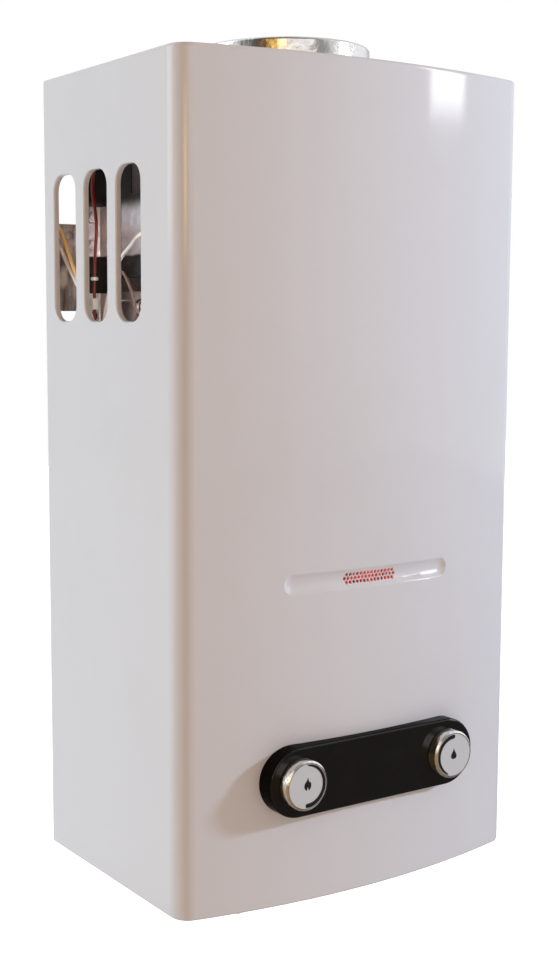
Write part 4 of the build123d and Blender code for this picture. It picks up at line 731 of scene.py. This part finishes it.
# Cover: front, sides and the folded edges in one sheet of steel.
# Deep drawn, then coated with glossy white enamel, which dries with a faint orange peel.
ripple, group_in, group_out = new_group("ripple", [("Size", NUMBER, 0.003)], [("Height", NUMBER)])
place = add_node(ripple, "ShaderNodeTexCoord").outputs["Object"]
scale = maths(ripple, "DIVIDE", 1.0, group_in.outputs["Size"])
waves = add_node(ripple, "ShaderNodeTexNoise", Vector=place, Scale=scale, Detail=1.5)
ripple.links.new(waves.outputs[0], group_out.inputs["Height"])

enamel, shader = new_material("white enamel", (0.80, 0.79, 0.79), 0.12)
tree = enamel.node_tree
effect = use_group(
    tree, stain, Size=0.16, Clean=(0.80, 0.79, 0.79, 1), Stained=(0.78, 0.77, 0.765, 1), Share=0.4,
    Smooth=0.05, Rough=0.08,
)
follow(tree, shader, effect)
peel = use_group(tree, ripple, Size=0.005)
bump(tree, shader, peel.outputs["Height"], 0.000012)
paint(["front_cover"], enamel)


# Sight pane: the thin tinted pane behind the perforated window.
# Heat-proof glass, dark red and uneven in tone, with a painted glow in its own colours.
pane, shader = new_material("red sight pane", (0.5, 0.02, 0.01), 0.25)
tree = pane.node_tree
effect = use_group(
    tree, stain, Size=0.004, Clean=(0.72, 0.04, 0.03, 1), Stained=(0.08, 0.014, 0.01, 1), Share=0.47,
    Smooth=0.2, Rough=0.35,
)
follow(tree, shader, effect)
# painted glow: the pane's colours are fed to its emission, so it shines in its shaded window
tree.links.new(effect.outputs["Colour"], shader.inputs["Emission Color"])
shader.inputs["Emission Strength"].default_value = 0.55
paint(["sight_pane"], pane)


# Control plate: a polished black stadium with the two knobs in it.
# Moulded in black acrylic; its face is polished and mirrors what stands on it, its edge is duller.
def black_acrylic(name, index):
    """Black moulded plastic that mirrors as strongly as this refractive index makes it."""
    material, shader = new_material(name, (0.006, 0.0055, 0.005), 0.05)
    tree = material.node_tree
    effect = use_group(
        tree, stain, Size=0.03, Clean=(0.006, 0.0055, 0.005, 1), Stained=(0.009, 0.008, 0.0075, 1), Share=0.4,
        Smooth=0.04, Rough=0.07,
    )
    follow(tree, shader, effect)
    shader.inputs["IOR"].default_value = index
    peel = use_group(tree, ripple, Size=0.02)
    bump(tree, shader, peel.outputs["Height"], 0.00001)
    return material


paint(["control_plate"], black_acrylic("polished black plastic", 1.46))
plate = nodes["control_plate"].data
plate.materials.append(black_acrylic("black plastic edge", 1.06))
face_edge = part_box("control_plate")[0][1] + 0.0006
for polygon in plate.polygons:
    polygon.material_index = int(polygon.center.y > face_edge)


# Knobs: a bright shell with a satin disc let into its front, marked in black.
# Plastic plated with chrome, a disc of bead blasted aluminium, and marks filled with black paint.
chrome, shader = new_material("chrome plating", (0.84, 0.83, 0.82), 0.2, 1.0)
tree = chrome.node_tree
effect = use_group(
    tree, stain, Size=0.0022, Clean=(0.90, 0.89, 0.88, 1), Stained=(0.66, 0.64, 0.62, 1), Share=0.42,
    Smooth=0.06, Rough=0.2,
)
follow(tree, shader, effect)
# a bump leans the wall's shading in by one part in five towards the front, as if drawn from a mould
wall_lean, plating_ripple = 0.2, 0.00018
axes = object_place(tree)[1]
lean = maths(tree, "MULTIPLY", axes["Y"], wall_lean)
bump(tree, shader, maths(tree, "MULTIPLY_ADD", effect.outputs["Height"], plating_ripple, lean), 1.0)
paint(["gas_knob", "water_knob"], chrome)
satin = stained(
    "bead blasted aluminium", (0.70, 0.715, 0.71), (0.66, 0.675, 0.67), 0.5, 0.0006, 0.42, 0.52, 0.0, 0.00002
)
mark_black = stained(
    "black marking paint", (0.008, 0.008, 0.008), (0.016, 0.015, 0.014), 0.4, 0.001, 0.35, 0.5
)


def smooth_outline(points, steps=6):
    """A closed outline that passes smoothly through these points."""
    outline, count = [], len(points)
    for n in range(count):
        a, b, c, d = [Vector(points[(n + k) % count]) for k in (-1, 0, 1, 2)]
        for step in range(steps):
            t = step / steps
            curve = (2 * a - 5 * b + 4 * c - d) * t**2 + (3 * b - a - 3 * c + d) * t**3
            outline.append(tuple(0.5 * (2 * b + (c - a) * t + curve)))
    return outline


def arc_mark(start, end, thin=0.05, thick=3.0, radius=14.8, steps=40):
    """An arc that thickens fast at first, up to its round end, in degrees clockwise from the top."""
    outside, inside = [], []
    for n in range(steps + 1):
        angle = radians(start + (end - start) * n / steps)
        width = thin + (thick - thin) * (n / steps) ** 0.3
        outside.append((radius * sin(angle), radius * cos(angle)))
        inside.append(((radius - width) * sin(angle), (radius - width) * cos(angle)))
    way = 1 if end > start else -1
    cap = []
    for n in range(1, 8):
        turn = pi * n / 8
        reach = radians(end) + way * thick / 2 * sin(turn) / (radius - thick / 2)
        spot = radius - thick / 2 + thick / 2 * cos(turn)
        cap.append((spot * sin(reach), spot * cos(reach)))
    return outside + cap + inside[::-1]


flame = smooth_outline([
    (0.2, 5.6), (0.9, 3.6), (1.5, 2.6), (2.2, 2.7), (2.8, 0.9), (2.5, -1.2), (1.2, -2.7), (0.6, -2.6),
    (0.5, -1.5), (0, -0.8), (-0.5, -1.5), (-0.6, -2.6), (-1.2, -2.7), (-2.5, -1.3), (-2.8, 0.6), (-2.1, 2.5),
    (-0.9, 3.7),
])
drop = smooth_outline([
    (0, 4.6), (0.7, 2.9), (1.9, 1.0), (2.6, -0.6), (2.2, -2.2), (0.9, -2.9), (-0.9, -2.9), (-2.2, -2.2),
    (-2.6, -0.6), (-1.9, 1.0), (-0.7, 2.9),
])
knob_spacing, knob_height, knob_front = 129, 88, -214.3
mark_depth, mark_root, disc_radius, disc_back = 0.1, 0.3, 15.2, 0.8
disc_front = knob_front + mark_depth
disc_profile = [
    (0, disc_front), (disc_radius - 0.15, disc_front), (disc_radius, disc_front + 0.15),
    (disc_radius, knob_front + disc_back), (0, knob_front + disc_back),
]
# a turned solid stands upright; this lays it down to face the front
to_front = Matrix(((1, 0, 0, 0), (0, 0, 1, 0), (0, -1, 0, 0), (0, 0, 0, 1)))
for side, label, body, icon, arc in (
    (-1, "gas", "gas_control", flame, arc_mark(-2, 181)),
    (1, "water", "water_control", drop, arc_mark(200, 358)),
):
    middle = side * knob_spacing / 2
    face = turned(f"{label}_face", disc_profile, (0, 0), 96)
    face.transform(Matrix.Translation((middle / 1000, 0, knob_height / 1000)) @ to_front)
    piece = new_piece(f"{label}_knob_disc", add_material(closed(face), satin))
    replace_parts(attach(piece, body), f"{label}_knob_face")
    both = bmesh.new()
    for outline in (icon, arc):
        placed = [(middle + x, knob_height + z) for x, z in outline]
        both.from_mesh(prism("mark", placed, "Y", knob_front, knob_front + mark_root))
    mark = bpy.data.meshes.new(f"{label}_mark")
    both.to_mesh(mark)
    both.free()
    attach(new_piece(f"{label}_knob_mark", add_material(mark, mark_black)), body)


# Floor: a wide pale plane under the heater, which keeps its shadow.
# It looks white to the camera, and bright metal mirrors it dim in front, amber to the left, white behind.
bpy.ops.mesh.primitive_plane_add(size=14, location=(0, 0, -0.5))
floor = bpy.context.object
floor.name = "floor"
pale, shader = new_material("pale floor", (0.8, 0.8, 0.8), 0.6)
tree = pale.node_tree
rays = tree.nodes.new("ShaderNodeLightPath").outputs
axes = object_place(tree)[1]
seen = maths(tree, "MAXIMUM", rays["Is Glossy Ray"], rays["Is Transmission Ray"])
glow = add_node(tree, "ShaderNodeEmission", Color=(1, 1, 1, 1), Strength=rays["Is Camera Ray"])
lit_floor = add_node(tree, "ShaderNodeAddShader", i0=shader.outputs[0], i1=glow.outputs[0])
near = blend(tree, ramp(tree, axes["X"], 0.5, -0.6), (0.17, 0.15, 0.145, 1), (0.34, 0.22, 0.10, 1))
mirrored_colour = blend(tree, ramp(tree, axes["Y"], 0.2, 1.2, smooth=True), near, (1, 1, 1, 1))
mirrored_floor = add_node(tree, "ShaderNodeEmission", Color=mirrored_colour, Strength=1.0)
mix = add_node(tree, "ShaderNodeMixShader", Fac=seen, i1=lit_floor.outputs[0], i2=mirrored_floor.outputs[0])
tree.links.new(mix.outputs[0], tree.nodes["Material Output"].inputs["Surface"])
floor.data.materials.append(pale)


# Studio: the room that bright metal and enamel mirror, with its windows and its softbox.
# The camera sees plain white there, and dull surfaces get one soft, even light from it.
world = bpy.data.worlds.new("studio")
bpy.context.scene.world = world
world.use_nodes = True
tree = world.node_tree

window, group_in, group_out = new_group(
    "window",
    [("Turn", NUMBER, 0.0), ("Rise", NUMBER, 0.0), ("From", NUMBER, 0.0), ("To", NUMBER, 10.0),
     ("Low", NUMBER, 0.0), ("High", NUMBER, 30.0), ("Soft", NUMBER, 2.0), ("Colour", COLOUR, (1, 1, 1, 1))],
    [("Light", COLOUR)],
)
strength = 1.0
for value, low, high in (("Turn", "From", "To"), ("Rise", "Low", "High")):
    for edge, way in ((low, 1), (high, -1)):
        reach = maths(window, "MULTIPLY", group_in.outputs["Soft"], way)
        start = maths(window, "SUBTRACT", group_in.outputs[edge], reach)
        end = maths(window, "ADD", group_in.outputs[edge], reach)
        step = ramp(window, group_in.outputs[value], start, end, smooth=True)
        strength = maths(window, "MULTIPLY", strength, step)
light = vector_maths(window, "SCALE", group_in.outputs["Colour"], Scale=strength)
window.links.new(light, group_out.inputs["Light"])

towards = add_node(tree, "ShaderNodeTexCoord").outputs["Generated"]
direction = add_node(tree, "ShaderNodeSeparateXYZ", Vector=towards).outputs
left, front = [maths(tree, "MULTIPLY", direction[n], -1.0) for n in (0, 1)]
turn = maths(tree, "DEGREES", maths(tree, "ARCTAN2", left, front))
rise = maths(tree, "DEGREES", maths(tree, "ARCSINE", direction[2]))

# walls of the room, by how many degrees they lie to the left of straight ahead
walls = [
    (-180, (0.90, 0.90, 0.90)), (-120, (0.60, 0.60, 0.60)), (-75, (0.75, 0.75, 0.75)),
    (-62, (0.60, 0.60, 0.60)), (-36, (0.60, 0.60, 0.60)), (-26, (0.50, 0.49, 0.48)),
    (-18, (0.28, 0.26, 0.25)), (-10, (0.34, 0.31, 0.29)), (2, (0.26, 0.22, 0.19)), (32, (0.26, 0.20, 0.15)),
    (44, (0.30, 0.17, 0.07)), (54, (0.22, 0.11, 0.04)), (66, (0.08, 0.055, 0.045)), (84, (0.18, 0.17, 0.17)),
    (96, (0.62, 0.62, 0.64)), (110, (0.90, 0.90, 0.90)),
]
room = add_node(tree, "ShaderNodeValToRGB", Fac=ramp(tree, turn, -180.0, 180.0))
stops = room.color_ramp.elements
stops[0].color = stops[1].color = (*walls[0][1], 1)
for bearing, colour in walls[1:]:
    stops.new((bearing + 180) / 360).color = (*colour, 1)

# windows and lit cloths: from and to in degrees left of straight ahead, low and high in degrees, softness
windows = [
    ("right softbox", -58, -50.3, 7.8, 26, 0.8, (8.5, 8.8, 9.2)),
    ("pale right wall", -110, -33, 5, 40, 4.0, (0.28, 0.28, 0.30)),
    ("pale curtain", -6, 36, 4.5, 30, 3.0, (0.84, 0.83, 0.81)),
    ("amber shade", 31, 45, 3, 8, 2.0, (3.6, 2.4, 0.9)),
    ("amber glow", 35, 54, 4, 30, 4.0, (0.72, 0.42, 0.10)),
    ("left window", 108, 140, 2.6, 40, 3.0, (1.6, 1.6, 1.6)),
]
mirrored = room.outputs[0]
for name, start, end, low, high, soft, colour in windows:
    pane_light = use_group(
        tree, window, Turn=turn, Rise=rise, From=start, To=end, Low=low, High=high, Soft=soft,
        Colour=(*colour, 1),
    )
    pane_light.label = name
    mirrored = vector_maths(tree, "ADD", mirrored, pane_light.outputs["Light"])

surround = tree.nodes["Background"]
surround.inputs["Color"].default_value = (0.414, 0.354, 0.313, 1)
reflected = add_node(tree, "ShaderNodeBackground", Color=mirrored, Strength=1.0)
backdrop = add_node(tree, "ShaderNodeBackground", Color=(1, 1, 1, 1), Strength=1.0)
rays = tree.nodes.new("ShaderNodeLightPath").outputs
seen = maths(tree, "MAXIMUM", rays["Is Glossy Ray"], rays["Is Transmission Ray"])
inner = add_node(tree, "ShaderNodeMixShader", Fac=seen, i1=surround.outputs[0], i2=reflected.outputs[0])
mix = add_node(
    tree, "ShaderNodeMixShader", Fac=rays["Is Camera Ray"], i1=inner.outputs[0], i2=backdrop.outputs[0]
)
tree.links.new(mix.outputs[0], tree.nodes["World Output"].inputs["Surface"])


# Lamps: a small one to the right, a broad one far to the left and behind, a warm one in front on the left.
# A fourth stands inside the casing, level with the air slots, where the metal and the leads catch light.
def lamp(name, turn, height, distance, size, power, colour, aim=(0, -0.1, 0.35)):
    """A rectangular lamp, turned left of straight ahead by so many degrees, that faces the heater."""
    data = bpy.data.lights.new(name, "AREA")
    data.shape = "RECTANGLE"
    data.size, data.size_y = size
    data.energy = power
    data.color = colour
    light = bpy.data.objects.new(name, data)
    bpy.context.collection.objects.link(light)
    light.location = (-distance * sin(radians(turn)), -0.1 - distance * cos(radians(turn)), height)
    light.rotation_euler = (Vector(aim) - light.location).to_track_quat("-Z", "Y").to_euler()
    light.visible_camera = False
    light.visible_glossy = False
    return light


lamp("right lamp", -52, 0.72, 1.6, (0.16, 0.12), 12.6, (0.765, 0.97, 1.27))
lamp("left lamp", 128, 0.80, 3.0, (0.5, 0.6), 35.2, (0.765, 1.015, 1.23))
lamp("warm lamp", 39, 0.54, 2.0, (0.4, 0.3), 4.6, (1.0, 0.45, 0.08))
inside_lamp = lamp(
    "slot lamp", 82, 0.43, 0.138, (0.014, 0.07), 0.032, (1.0, 0.90, 0.78), aim=(-0.11, -0.01, 0.43)
)
inside_lamp.visible_glossy = True
lit = bpy.data.collections.new("lit through the slots")
for piece in bpy.context.collection.all_objects:
    if piece.type == "MESH" and piece != floor and piece.name != "front_cover":
        lit.objects.link(piece)
inside_lamp.light_linking.receiver_collection = lit


# Camera: a long lens a little above the middle, to the heater's left, as the photograph was taken.
# The picture is cut a little off centre, and the shift allows for it.
focal_pixels, photo_height, film_height = 1457.8, 958, 36
centre_right, centre_down = -64.99, 10.87
look_down, look_right = 6.733, 33.057
camera_data = bpy.data.cameras.new("camera")
camera_data.sensor_fit = "VERTICAL"
camera_data.sensor_height = film_height
camera_data.lens = focal_pixels * film_height / photo_height
camera_data.shift_x = -centre_right / photo_height
camera_data.shift_y = centre_down / photo_height
camera_data.clip_end = 50
camera = bpy.data.objects.new("camera", camera_data)
bpy.context.collection.objects.link(camera)
camera.location = (-0.6265, -0.9645, 0.3961)
camera.rotation_euler = (radians(90 - look_down), 0, radians(-look_right))
bpy.context.scene.camera = camera
bpy.context.scene.view_settings.view_transform = "Standard"
